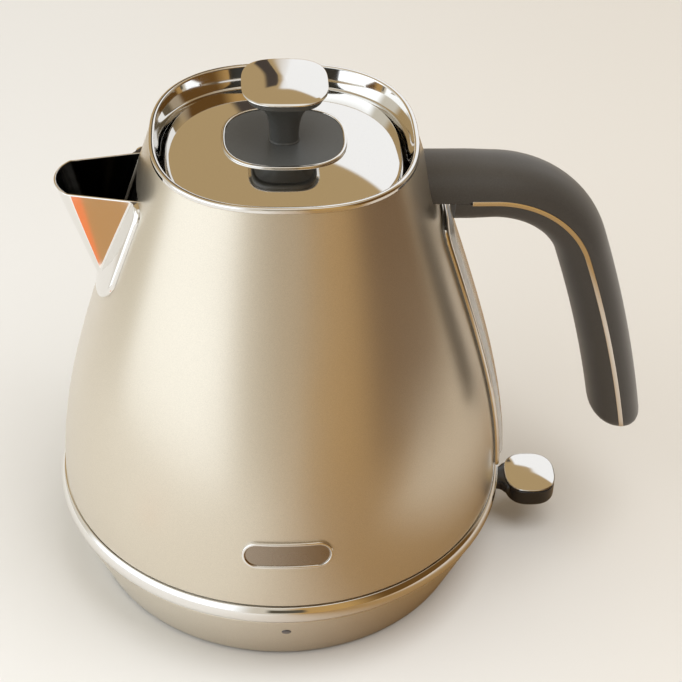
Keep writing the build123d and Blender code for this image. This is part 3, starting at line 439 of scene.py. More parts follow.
# ---------------------------------------------------------------- the jug's form
def flank(level, jug):
    """Half-width of the jug at a height: the cubic Bezier z(t) is inverted by Newton's steps, then x(t)."""
    z0, z1 = jug.foot_level, jug.foot_level + jug.foot_pull
    z2, z3 = jug.rim_level - jug.shoulder_pull, jug.rim_level
    share = (level - z0) / (z3 - z0)
    for _ in range(12):
        rest = 1 - share
        height = rest**3 * z0 + 3 * rest**2 * share * z1 + 3 * rest * share**2 * z2 + share**3 * z3
        slope = 3 * rest**2 * (z1 - z0) + 6 * rest * share * (z2 - z1) + 3 * share**2 * (z3 - z2)
        share = share - (height - level) / slope
    rest = 1 - share
    x2 = jug.rim + jug.shoulder_lean * jug.shoulder_pull
    return (rest**3 + 3 * rest**2 * share) * jug.foot + 3 * rest * share**2 * x2 + share**3 * jug.rim


def squareness(level, jug):
    """Power of the jug's outline: 2 at the foot and the rim's power at the top, in a straight line."""
    rise = np.clip((level - jug.foot_level) / (jug.rim_level - jug.foot_level), 0, 1)
    return 2 + (jug.rim_power - 2) * rise


def jug_reach(across, level, jug, grow=0.0):
    """Distance from the axis to the jug's form, grown sideways, for a point at a side offset and a height."""
    half, power = flank(level, jug) + grow, squareness(level, jug)
    return half * (1 - np.minimum(np.abs(across) / half, 0.999) ** power) ** (1 / power)


def on_flank(outline, level, grow, jug, side):
    """Points on the jug's form, grown outwards, on the side that faces "x", "-x" or "-y"."""
    reach = jug_reach(outline, level, jug, grow)
    if side == "-y":
        return np.stack([outline, -reach, level], -1)
    return np.stack([reach if side == "x" else -reach, outline, level], -1)


# ---------------------------------------------------------------- the spout's form
def beak_point(share, level, spout):
    """Distance from the axis and side offset of the beak's half outline at a height.

    Tip, nose, bow and root change in straight lines with the height. For a share of 0 to 1 the
    point runs along the circle through the tip and the nose's corners, and for 1 to 2 along the
    straight side to the root.
    """
    rise = (level - spout.top + spout.depth) / spout.depth
    tip = spout.tip_low + (spout.tip_top - spout.tip_low) * rise
    nose = spout.nose_low + (spout.nose_top - spout.nose_low) * rise
    bow = spout.bow_low + (spout.bow_top - spout.bow_low) * rise
    root = spout.root_low + (spout.root_top - spout.root_low) * rise
    radius = (nose**2 + bow**2) / (2 * bow)
    turn = np.arcsin(nose / radius) * np.minimum(share, 1)
    side = np.maximum(share - 1, 0)
    distance = tip - radius * (1 - np.cos(turn)) + (spout.root - tip + bow) * side
    offset = radius * np.sin(turn) + (root - nose) * side
    return distance, offset


def beak_meets(level, spout, jug, grow):
    """Share of the beak's half outline at which it meets the jug's form, grown outwards."""

    def above(share):
        distance, offset = beak_point(share, level, spout)
        return distance - jug_reach(offset, level, jug, grow)

    return bisect(above, 0 * level, 0 * level + 2)


def beak_foot(spout, jug, grow):
    """Height at which the beak's tip comes out of the jug's form, grown outwards."""

    def inside(level):
        return flank(level, jug) + grow - beak_point(0 * level, level, spout)[0]

    return float(bisect(inside, spout.top - spout.depth, spout.top))


def beak_sheet(spout, jug, sunk):
    """The beak from its foot to its open top; each row runs from one root over the tip to the other.

    Half of a row's steps are even along the nose's arc, the others even along the straight sides,
    up to where these meet the jug's form, grown by sunk.
    """
    level = np.linspace(beak_foot(spout, jug, sunk), spout.top, 49)[:, None]
    last = beak_meets(level, spout, jug, sunk)
    nose = np.minimum(last, 1)
    side = np.linspace(-1, 1, 65)[None, :]
    step = 2 * np.abs(side)
    share = np.where(step < 1, step * nose, nose + (step - 1) * (last - nose))
    distance, offset = beak_point(share, level, spout)
    return np.stack([-distance, np.sign(side) * offset, level + 0 * offset], -1)


def flange_sheet(spout, jug):
    """The flange as a band between the beak and a U-shaped outline on the shell.

    The outline is a bowed foot, straight sides and quarter circles at the top, read at even
    distances. Each line of the band goes from the beak's foot out along the shell to a point of the
    outline, back over a rounded edge and the flat face, and up the beak along a parabola:
    (1 - b)^2 start + 2 b (1 - b) low + b^2 high.
    """
    turn = np.linspace(0, pi / 2, 20)
    bow = spout.flange_foot + spout.flange_bow * (1 - np.cos(turn))
    bowed = np.stack([spout.flange_half * np.sin(turn), bow], 1)
    corner, few = spout.flange_corner, turn[::3]
    across, height = spout.flange_half - corner * (1 - np.cos(few)), spout.top - corner * (1 - np.sin(few))
    outline = np.concatenate([bowed, np.stack([across, height], 1)])
    travel = np.concatenate([[0], np.cumsum(np.linalg.norm(np.diff(outline, axis=0), axis=1))])
    step = np.linspace(-1, 1, 121)
    side, along = np.sign(step), np.abs(step) * travel[-1]
    across, height = side * np.interp(along, travel, outline[:, 0]), np.interp(along, travel, outline[:, 1])
    outer = np.stack([across, height], 1)

    def crossing(grow):
        """Where the beak meets the jug's form, grown outwards; the heights crowd towards its foot."""
        foot = beak_foot(spout, jug, grow)
        height = foot + (spout.top - foot) * np.abs(step) ** 1.6
        half = beak_point(beak_meets(height, spout, jug, grow), height, spout)[1]
        return np.stack([side * half, height], 1)

    proud, edge, blend, seat = spout.flange_proud, 0.75 * spout.flange_proud, 2.0 * MM, 0.05 * MM
    lift = 0.42 * blend
    low, high = crossing(proud), crossing(proud + lift)
    across = outer - low
    across = across / np.linalg.norm(across, axis=1)[:, None]
    start = low + across * 0.52 * blend
    lines = [(low, seat), (outer, seat)]
    lines += [(outer - across * inset, proud - drop) for inset, drop in roundover(edge, steps=8)]
    lines += [((outer + start) / 2, proud)]
    for b in np.linspace(0, 1, 7):
        lines.append(((1 - b) ** 2 * start + 2 * b * (1 - b) * low + b * b * high, proud + lift * b * b))
    sheet = np.stack([on_flank(line[:, 0], line[:, 1], grow, jug, "-x") for line, grow in lines], 1)
    return np.concatenate([pole(sheet[:1]), sheet, pole(sheet[-1:])])


# ---------------------------------------------------------------- the gauge's and badge's outlines
def trapezoid(inset, gauge, steps=8, fill=26):
    """Rounded upright trapezoid of (offset, height), moved inwards; corner radii shrink with the inset."""
    lean = (gauge.foot_half - gauge.top_half) / (gauge.top - gauge.foot)
    low, high = gauge.foot + inset, gauge.top - inset
    slack = inset * sqrt(1 + lean**2)
    low_half = gauge.foot_half - lean * inset - slack
    high_half = gauge.top_half + lean * inset - slack
    radius = max(gauge.corner - inset, 1.6 * MM)
    corners = [(low_half, low), (high_half, high), (-high_half, high), (-low_half, low)]
    arcs = rounded(corners, [radius] * 4, steps=steps).reshape(4, -1, 2)
    share = np.linspace(0, 1, fill + 2)[1:-1, None]
    sides = [arcs[i][-1] + (arcs[(i + 1) % 4][0] - arcs[i][-1]) * share for i in range(4)]
    return np.concatenate([part for pair in zip(arcs, sides) for part in pair])


def capsule(width, height, inset, steps=16, fill=10):
    """Lying capsule of (offset, height) round its middle: two half circles and two straight runs."""
    radius = height / 2 - inset
    straight = (width - height) / 2
    turn = np.linspace(-pi / 2, pi / 2, steps)
    bend = np.stack([straight + radius * np.cos(turn), radius * np.sin(turn)], 1)
    share = np.linspace(0, 1, fill + 2)[1:-1, None]
    run = np.array([straight, radius]) + np.array([-2 * straight, 0]) * share
    return np.concatenate([bend, run, -bend, -run])


# ---------------------------------------------------------------- the handle's form
def handle_line(run, handle):
    """Place (x, z) and outward normal (x, z) of the handle's centre line at a distance along it.

    A level run to the bend's start, an arc of the bend's radius and turn, then an arc of the drop's
    radius. On the level run the distance is x itself.
    """
    bend = np.clip((run - handle.bend_start) / handle.bend_radius, 0, handle.bend_angle)
    past = np.maximum(run - handle.bend_start - handle.bend_radius * handle.bend_angle, 0)
    whole = bend + past / handle.drop_radius
    x = np.minimum(run, handle.bend_start) + handle.bend_radius * np.sin(bend)
    x = x + handle.drop_radius * (np.sin(whole) - np.sin(bend))
    z = handle.level - handle.bend_radius * (1 - np.cos(bend))
    z = z - handle.drop_radius * (np.cos(bend) - np.cos(whole))
    return x, z, np.sin(whole), np.cos(whole)


def handle_point(run, section, inset, handle):
    """Point of the handle's skin: section(inset) gives (offset across, offset along the normal)."""
    x, z, normal_x, normal_z = handle_line(run, handle)
    across, outward = section(inset, run)
    return np.stack([x + normal_x * outward, across + 0 * run, z + normal_z * outward], -1)


def handle_sheet(section, start, handle, rows=90, cap_rows=4):
    """Sheet along the handle from a start to the slanted free end with its rounded edge.

    The end's plane goes through (end_distance, end_level). At a distance q from it, below the
    rounding's radius r, the section shrinks by r - sqrt(r^2 - (r - q)^2), and the run along the line
    at which the skin is q away from the plane is found by halving.
    """
    r = handle.end_round
    slant = np.array([sin(handle.end_slant), cos(handle.end_slant)])
    longest = handle.bend_start + handle.bend_radius * handle.bend_angle + 0.2 * handle.drop_radius

    def run_at(gap, inset):
        def beyond(run):
            skin = handle_point(run, section, inset, handle)
            past, over = skin[..., 0] - handle.end_distance, skin[..., 2] - handle.end_level
            return past * slant[0] + over * slant[1] - gap

        return bisect(beyond, handle.bend_start + 0 * start, longest + 0 * start)

    last = run_at(r, 0.0)
    share = np.linspace(0, 1, rows)[:, None]
    runs = start + (last - start) * share
    sheets = [handle_point(runs, section, 0.0, handle)]
    for turn in np.linspace(0, pi / 2, 8)[1:]:
        inset = r * (1 - cos(turn))
        run = run_at(r * (1 - sin(turn)), inset)
        sheets.append(handle_point(run[None, :], section, inset, handle))
    edge = sheets[-1][0]
    middle = edge.mean(0)
    shrink = np.linspace(1, 0, cap_rows + 1)[1:, None, None]
    sheets.append(middle + (edge - middle) * shrink)
    return np.concatenate(sheets)


# ---------------------------------------------------------------- shader groups
def effect(name, inputs, outputs):
    """A new shader node group with named inputs (name, kind, default) and outputs (name, kind)."""
    group = bpy.data.node_groups.new(name, "ShaderNodeTree")
    for title, kind, default in inputs:
        socket = group.interface.new_socket(title, in_out="INPUT", socket_type=kind)
        if default is not None:
            socket.default_value = default
    for title, kind in outputs:
        group.interface.new_socket(title, in_out="OUTPUT", socket_type=kind)
    return group, group.nodes.new("NodeGroupInput"), group.nodes.new("NodeGroupOutput")


def link(tree, source, target):
    """Links (node, output name or index) to (node, input name or index)."""
    tree.links.new(source[0].outputs[source[1]], target[0].inputs[target[1]])


def linked(value):
    """Whether a value is (node, output) and not a plain number, colour or vector."""
    return isinstance(value, tuple) and isinstance(value[0], bpy.types.Node)


def feed(tree, node, socket, value):
    """Links a node's input to (node, output), or writes a plain value into it."""
    if linked(value):
        link(tree, value, (node, socket))
    else:
        node.inputs[socket].default_value = value


def mapped(tree, source, low, high, start=0.0, end=1.0, kind="LINEAR"):
    """Map Range node from start..end to low..high, held at both ends."""
    node = tree.nodes.new("ShaderNodeMapRange")
    node.interpolation_type = kind
    for socket, value in (("From Min", start), ("From Max", end), ("To Min", low), ("To Max", high)):
        feed(tree, node, socket, value)
    link(tree, source, (node, "Value"))
    return (node, "Result")


def soft(tree, source, start, end):
    """A smooth step: 0 at the start and 1 at the end."""
    return mapped(tree, source, 0.0, 1.0, start, end, "SMOOTHSTEP")


def maths(tree, operation, *values):
    """Math node over numbers or (node, output)."""
    node = tree.nodes.new("ShaderNodeMath")
    node.operation = operation
    for socket, value in enumerate(values):
        feed(tree, node, socket, value)
    return (node, "Value")


def measured(tree, operation, source, other=(0.0, 0.0, 0.0)):
    """A number from a vector: its distance from a point, its product with a direction or its length."""
    node = tree.nodes.new("ShaderNodeVectorMath")
    node.operation = operation
    node.inputs[1].default_value = other
    link(tree, source, (node, 0))
    return (node, "Value")


def mixed(tree, first, second, mask):
    """Mix node from one colour to another by a mask. Its colours are sockets 6 and 7, and output 2."""
    node = tree.nodes.new("ShaderNodeMix")
    node.data_type = "RGBA"
    for socket, value in ((6, first), (7, second)):
        feed(tree, node, socket, value if linked(value) else (*value, 1))
    link(tree, mask, (node, 0))
    return (node, 2)


def noise(tree, vector, scale, detail, roughness):
    """Noise texture on a vector."""
    node = tree.nodes.new("ShaderNodeTexNoise")
    for socket, value in (("Detail", detail), ("Roughness", roughness), ("Scale", scale)):
        feed(tree, node, socket, value)
    link(tree, vector, (node, "Vector"))
    return (node, "Fac")


def grain_effect():
    """Fine grain of a moulded or sprayed surface: a lighter and a darker shade, and a height."""
    group, given, made = effect(
        "Fine grain",
        [
            ("Vector", "NodeSocketVector", None),
            ("Colour", "NodeSocketColor", (0.5, 0.5, 0.5, 1)),
            ("Scale", "NodeSocketFloat", 1500.0),
            ("Contrast", "NodeSocketFloat", 0.06),
        ],
        [("Colour", "NodeSocketColor"), ("Height", "NodeSocketFloat")],
    )
    specks = noise(group, (given, "Vector"), (given, "Scale"), 2.0, 0.6)
    swing = mapped(group, specks, -1.0, 1.0, 0.25, 0.75)
    shade = maths(group, "MULTIPLY_ADD", swing, (given, "Contrast"), 1.0)
    tint = group.nodes.new("ShaderNodeHueSaturation")
    link(group, (given, "Colour"), (tint, "Color"))
    link(group, shade, (tint, "Value"))
    link(group, (tint, "Color"), (made, "Colour"))
    link(group, specks, (made, "Height"))


def handling_effect():
    """Soft marks of hands and wiping: a roughness that drifts between two values."""
    group, given, made = effect(
        "Handling marks",
        [
            ("Vector", "NodeSocketVector", None),
            ("Roughness", "NodeSocketFloat", 0.3),
            ("Spread", "NodeSocketFloat", 0.05),
            ("Scale", "NodeSocketFloat", 22.0),
        ],
        [("Roughness", "NodeSocketFloat"), ("Mask", "NodeSocketFloat")],
    )
    broad = noise(group, (given, "Vector"), (given, "Scale"), 4.0, 0.55)
    mask = mapped(group, broad, 0.0, 1.0, 0.35, 0.68)
    rough = maths(group, "MULTIPLY_ADD", mask, (given, "Spread"), (given, "Roughness"))
    link(group, rough, (made, "Roughness"))
    link(group, mask, (made, "Mask"))


def brushed_effect():
    """Fine lines of a brushed or drawn sheet along one direction: a height and a shade."""
    group, given, made = effect(
        "Brushed lines",
        [
            ("Vector", "NodeSocketVector", None),
            ("Stretch", "NodeSocketVector", (1.0, 1.0, 40.0)),
            ("Scale", "NodeSocketFloat", 60.0),
        ],
        [("Height", "NodeSocketFloat"), ("Shade", "NodeSocketFloat")],
    )
    stretch = group.nodes.new("ShaderNodeVectorMath")
    stretch.operation = "MULTIPLY"
    link(group, (given, "Vector"), (stretch, 0))
    link(group, (given, "Stretch"), (stretch, 1))
    lines = noise(group, (stretch, "Vector"), (given, "Scale"), 3.0, 0.7)
    link(group, lines, (made, "Height"))
    link(group, mapped(group, lines, 0.9, 1.08, 0.3, 0.7), (made, "Shade"))


def use_effect(tree, name, vector, **values):
    """Places a shader group in a material with its own values."""
    node = tree.nodes.new("ShaderNodeGroup")
    node.node_tree = bpy.data.node_groups[name]
    for socket, value in values.items():
        node.inputs[socket].default_value = value
    link(tree, vector, (node, "Vector"))
    return node


# ---------------------------------------------------------------- finishes
def finish(
    name,
    colour,
    metallic=0.0,
    roughness=0.4,
    spread=0.05,
    mark_scale=22.0,
    grain_scale=1500.0,
    contrast=0.05,
    bump=0.1,
    depth=0.02 * MM,
    brushed=None,
    coat=0.0,
    coat_roughness=0.1,
    sheen=0.0,
    specular=0.5,
    clear=0.0,
):
    """A material of one finish: colour with grain, roughness with marks, bump of grain or brushed lines."""
    material = bpy.data.materials.new(name)
    material.use_nodes = True
    tree = material.node_tree
    tree.nodes.clear()
    out = tree.nodes.new("ShaderNodeOutputMaterial")
    shader = tree.nodes.new("ShaderNodeBsdfPrincipled")
    place = (tree.nodes.new("ShaderNodeTexCoord"), "Object")
    grain = use_effect(tree, "Fine grain", place, Colour=(*colour, 1), Scale=grain_scale, Contrast=contrast)
    marks = use_effect(tree, "Handling marks", place, Roughness=roughness, Spread=spread, Scale=mark_scale)
    raised = use_effect(tree, "Brushed lines", place, Stretch=brushed) if brushed else grain
    relief = tree.nodes.new("ShaderNodeBump")
    relief.inputs["Strength"].default_value = bump
    relief.inputs["Distance"].default_value = depth
    link(tree, (grain, "Colour"), (shader, "Base Color"))
    link(tree, (marks, "Roughness"), (shader, "Roughness"))
    link(tree, (raised, "Height"), (relief, "Height"))
    link(tree, (relief, "Normal"), (shader, "Normal"))
    shader.inputs["Metallic"].default_value = metallic
    shader.inputs["Coat Weight"].default_value = coat
    shader.inputs["Coat Roughness"].default_value = coat_roughness
    shader.inputs["Sheen Weight"].default_value = sheen
    shader.inputs["Specular IOR Level"].default_value = specular
    if clear:
        shader.inputs["Transmission Weight"].default_value = clear
        shader.inputs["IOR"].default_value = 1.45
    link(tree, (shader, "BSDF"), (out, "Surface"))


FINISH_OF_NODE = {
    "filter_frame": "Inner plastic",
    "filter_mesh": "Stainless mesh",
    "bottom_pan": "Inner plastic",
    "pan_screws": "Zinc screw",
    "floor_plate": "Brushed steel",
    "floor_seal": "Silicone",
    "heat_diffuser": "Aluminium",
    "heating_element": "Brushed steel",
    "thermal_control": "Inner plastic",
    "jug_connector": "Inner plastic",
    "jug_contacts": "Contact brass",
    "base_bottom": "Inner plastic",
    "base_screws": "Zinc screw",
    "base_feet": "Foot rubber",
    "base_connector": "Inner plastic",
    "base_contacts": "Contact brass",
    "lamp_board": "Circuit board",
    "cord_gland": "Inner plastic",
    "switch_unit": "Inner plastic",
    "lever_pin": "Zinc screw",
    "handle_bracket": "Zinc screw",
    "handle_screws": "Zinc screw",
    "gauge_seal": "Silicone",
    "lid_plug": "Inner plastic",
    "lid_seal": "Silicone",
    "lid_screw": "Zinc screw",
}


class KETTLE_OT_finishes(bpy.types.Operator):
    """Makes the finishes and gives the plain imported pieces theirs."""

    bl_idname = "kettle.finishes"
    bl_label = "Finishes"

    def execute(self, context):
        tints = context.scene.kettle_finish
        grain_effect()
        handling_effect()
        brushed_effect()
        finish(
            "Satin paint", tints.paint, metallic=0.92, roughness=0.30, spread=0.05, grain_scale=4200.0,
            contrast=0.10, bump=0.05, coat=0.35, coat_roughness=0.16,
        )
        finish("Chrome", tints.chrome, metallic=1.0, roughness=0.035, spread=0.03, contrast=0.01, bump=0.004)
        # sunk field of the badge: satin metal whose dark tan tint is a painted reflection of brown
        # surroundings
        finish(
            "Badge field", (0.36, 0.30, 0.24), metallic=1.0, roughness=0.24, spread=0.05, contrast=0.05,
            bump=0.03, grain_scale=3000.0,
        )
        # near-black chrome for the beak's inner wall: painted shade inside the spout
        finish(
            "Chrome inside", (0.045, 0.042, 0.038), metallic=1.0, roughness=0.14, spread=0.06, contrast=0.02,
            bump=0.01,
        )
        finish(
            "Soft-touch grip", tints.grip, roughness=0.46, spread=0.08, grain_scale=2600.0, contrast=0.30,
            bump=0.35, depth=0.04 * MM, sheen=0.30, specular=0.50,
        )
        finish(
            "Knob plastic", tints.knob, roughness=0.34, spread=0.07, grain_scale=2200.0, contrast=0.12,
            bump=0.12,
        )
        finish("Black plastic", tints.black, roughness=0.16, spread=0.08, contrast=0.08, bump=0.02, coat=0.3)
        finish(
            "Inner plastic", tints.inner, roughness=0.42, spread=0.10, grain_scale=1800.0, contrast=0.15,
            bump=0.2,
        )
        finish(
            "Brushed steel", (0.58, 0.57, 0.55), metallic=1.0, roughness=0.26, spread=0.06, contrast=0.03,
            bump=0.10, brushed=(40.0, 1.0, 1.0),
        )
        finish("Stainless mesh", (0.50, 0.49, 0.47), metallic=1.0, roughness=0.30, contrast=0.05)
        finish("Zinc screw", (0.55, 0.56, 0.58), metallic=1.0, roughness=0.28, contrast=0.06, bump=0.1)
        finish("Aluminium", (0.66, 0.66, 0.67), metallic=1.0, roughness=0.42, contrast=0.06, bump=0.15)
        finish("Contact brass", (0.72, 0.50, 0.20), metallic=1.0, roughness=0.22, contrast=0.06, bump=0.05)
        finish("Silicone", (0.42, 0.41, 0.39), roughness=0.55, contrast=0.05, bump=0.1, specular=0.4)
        finish("Foot rubber", (0.025, 0.025, 0.026), roughness=0.75, contrast=0.2, bump=0.3, specular=0.3)
        finish("Circuit board", (0.02, 0.13, 0.06), roughness=0.35, contrast=0.2, bump=0.2)
        finish(
            "Clear window", (0.93, 0.92, 0.89), roughness=0.06, spread=0.04, contrast=0.02, bump=0.003,
            clear=0.45,
        )
        finish("Signal lamp", (0.070, 0.062, 0.066), roughness=0.14, contrast=0.1, bump=0.02, coat=0.4)
        for node, name in FINISH_OF_NODE.items():
            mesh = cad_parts[node].data
            mesh.materials.clear()
            mesh.materials.append(bpy.data.materials[name])
        return {"FINISHED"}


# ---------------------------------------------------------------- pieces of the jug
class KETTLE_OT_shell(bpy.types.Operator):
    """Painted shell of the jug, with the gauge's slot and the spout's opening."""

    bl_idname = "kettle.shell"
    bl_label = "Shell"

    def execute(self, context):
        jug, spout, gauge = context.scene.kettle_jug, context.scene.kettle_spout, context.scene.kettle_gauge
        slot_low = gauge.foot + gauge.rail + gauge.slot_inset
        slot_high = gauge.top - gauge.rail - gauge.slot_inset
        hole_low, hole_high = beak_foot(spout, jug, 0) + 2 * spout.wall, spout.top + 0.5 * MM
        marks = [jug.foot_level, slot_low, hole_low, slot_high, hole_high, jug.rim_level]
        level = levels_through(marks, (8, 34, 12, 12, 9))
        lean = (gauge.foot_half - gauge.top_half) / (gauge.top - gauge.foot)
        slot_half = gauge.top_half + lean * (gauge.top - level) - gauge.rail - gauge.slot_inset

        # the opening's edge stays inside the beak's sheet
        clamped = np.clip(level, hole_low, spout.top)
        hole_half = beak_point(beak_meets(clamped, spout, jug, 0), clamped, spout)[1] - 1.6 * spout.wall
        hole_half = np.maximum(hole_half, 0.4 * MM)
        slot_turn = np.arctan2(slot_half, jug_reach(slot_half, level, jug))
        hole_turn = np.arctan2(hole_half, jug_reach(hole_half, level, jug))
        # columns of the slot, one flank, the opening and the other flank
        columns = [0, 12, 130, 146, 264]
        edges = [-slot_turn, slot_turn, pi - hole_turn, pi + hole_turn, 2 * pi - slot_turn]
        turn = turns_through(edges, columns)
        reach = squircle(turn, squareness(level, jug)[:, None]) * flank(level, jug)[:, None]
        points = np.stack([reach * np.cos(turn), reach * np.sin(turn), level[:, None] + 0 * turn], -1)
        slot = cut_out(level, slot_low, slot_high, columns, 0)
        hole = cut_out(level, hole_low, hole_high, columns, 2)
        shell = add_piece(
            "jug_shell", [(points, False, True, ~(slot | hole))], "Satin paint", "jug", "body_shell",
        )
        thicken(shell, jug.wall, edge=0.25 * MM, segments=2, limit=radians(50))
        return {"FINISHED"}


class KETTLE_OT_spout(bpy.types.Operator):
    """Open beak with a blunt tip, and the flange that carries it on the shell."""

    bl_idname = "kettle.spout"
    bl_label = "Spout"

    def execute(self, context):
        jug, spout = context.scene.kettle_jug, context.scene.kettle_spout
        beak = add_piece(
            "spout_beak", [(beak_sheet(spout, jug, -0.8 * MM), False, False, None)], "Chrome", "jug", "spout",
        )
        thicken(beak, spout.wall, edge=0.40 * MM, segments=4, limit=radians(40))
        beak.modifiers["Edges"].use_clamp_overlap = False
        # the beak's inner wall is near-black chrome: painted shade inside the spout
        beak.data.materials.append(bpy.data.materials["Chrome inside"])
        beak.modifiers["Wall"].material_offset = 1
        flange = add_piece(
            "spout_flange", [(flange_sheet(spout, jug), False, True, None)], "Chrome", "jug", "spout",
        )
        thicken(flange, 0, edge=0.5 * MM, segments=3, limit=radians(50))
        return {"FINISHED"}


class KETTLE_OT_collar(bpy.types.Operator):
    """Chrome bead and funnel around the mouth, with the ledge that carries the lid."""

    bl_idname = "kettle.collar"
    bl_label = "Rim collar"

    def execute(self, context):
        jug, lid = context.scene.kettle_jug, context.scene.kettle_lid
        outer, bead, seat = jug.rim + 0.2 * MM, collar_high.z, jug.rim_level + 0.05 * MM
        skirt = jug.rim - jug.wall - 0.1 * MM
        wall = 1.2 * MM
        corners = [
            (outer, seat), (outer, bead), (jug.rim - lid.funnel_rim, bead),
            (cover_high.x + 0.7 * MM, lid.ledge), (lid.mouth, lid.ledge), (lid.mouth, lid.ledge - wall),
            (skirt - wall, lid.ledge - wall), (skirt - wall, collar_low.z),
            (skirt, collar_low.z), (skirt, seat),
        ]
        radii = np.array([0.1, 0.8, 0.7, 0.6, 0.3, 0.2, 0.2, 0.2, 0.2, 0.1]) * MM
        points = around(turned(rounded(corners, radii)), jug.rim_power, columns=280)
        add_piece(
            "mouth_collar", [(points, True, True, None)], "Chrome", "jug", "rim_collar"
        )
        return {"FINISHED"}


class KETTLE_OT_bottom(bpy.types.Operator):
    """Chrome ring under the shell and the painted skirt and deck of the power base."""

    bl_idname = "kettle.bottom"
    bl_label = "Ring and base"

    def execute(self, context):
        jug, gauge = context.scene.kettle_jug, context.scene.kettle_gauge

        # ring: an arc for its face, and a tongue that goes up inside the shell
        radius, low, high = ring_high.y, ring_low.z, jug.foot_level - 0.5 * MM
        bulge = low + jug.ring_bulge * (high - low)
        face = arc_through((radius - 1.0 * MM, low), (radius, bulge), (jug.foot + 0.4 * MM, high), 14)
        inner, tongue = radius - jug.ring_depth, jug.foot - jug.wall - 0.1 * MM
        behind = tongue - 1.6 * MM
        back = [
            (tongue, high), (tongue, ring_high.z), (behind, ring_high.z), (behind, high),
            (inner, high), (inner, low),
        ]
        points = around(turned(np.concatenate([face, back])), 2, columns=240)
        ring = add_piece(
            "foot_ring", [(points, True, True, None)], "Chrome", "jug", "bottom_ring"
        )
        thicken(ring, 0, edge=0.3 * MM, segments=3, limit=radians(35))

        # skirt with the lever's slot at +X and the cord's hole at +Y
        foot, top, deck = base_low.z, base_high.z, jug.deck_level
        lean = (base_high.y - jug.skirt_foot) / (top - foot)
        slot_top = arm_high.z - 1.0 * MM
        gland_low, gland_high, gland_half = 7.3 * MM, 13.7 * MM, 3.2 * MM
        level = levels_through([foot, gland_low, gland_high, jug.slot_foot, slot_top, top], (6, 6, 1, 8, 6))
        skirt = jug.skirt_foot + lean * (level - foot)
        slot_turn = np.arcsin((gauge.arm_half + 0.8 * MM) / skirt)
        hole_turn = np.arcsin(gland_half / skirt)
        # columns of the slot, a quarter of the skirt, the cord's hole and the rest of the skirt
        columns = [0, 6, 66, 72, 252]
        edges = [-slot_turn, slot_turn, pi / 2 - hole_turn, pi / 2 + hole_turn, 2 * pi - slot_turn]
        turn = turns_through(edges, columns)
        reach = skirt[:, None]
        points = np.stack([reach * np.cos(turn), reach * np.sin(turn), level[:, None] + 0 * turn], -1)
        slot = cut_out(level, jug.slot_foot, slot_top, columns, 0)
        hole = cut_out(level, gland_low, gland_high, columns, 2)
        piece = add_piece(
            "base_skirt", [(points, False, True, ~(slot | hole))], "Satin paint", "power_base",
            "base_housing",
        )
        thicken(piece, jug.skirt_wall, edge=0.5 * MM, segments=3, limit=radians(50))

        # deck between the skirt and the connector's hub
        inside, hub, under = base_high.y - jug.skirt_wall + 0.2 * MM, 15.1 * MM, deck - 2.5 * MM
        outline = np.array([(inside, deck), (hub, deck), (hub, under), (inside - 1.5 * MM, under)])
        points = around(turned(outline), 2, columns=200)
        plate = add_piece(
            "base_deck", [(points, True, True, None)], "Satin paint", "power_base", "base_housing",
        )
        thicken(plate, 0, edge=0.4 * MM, segments=2, limit=radians(35))
        return {"FINISHED"}


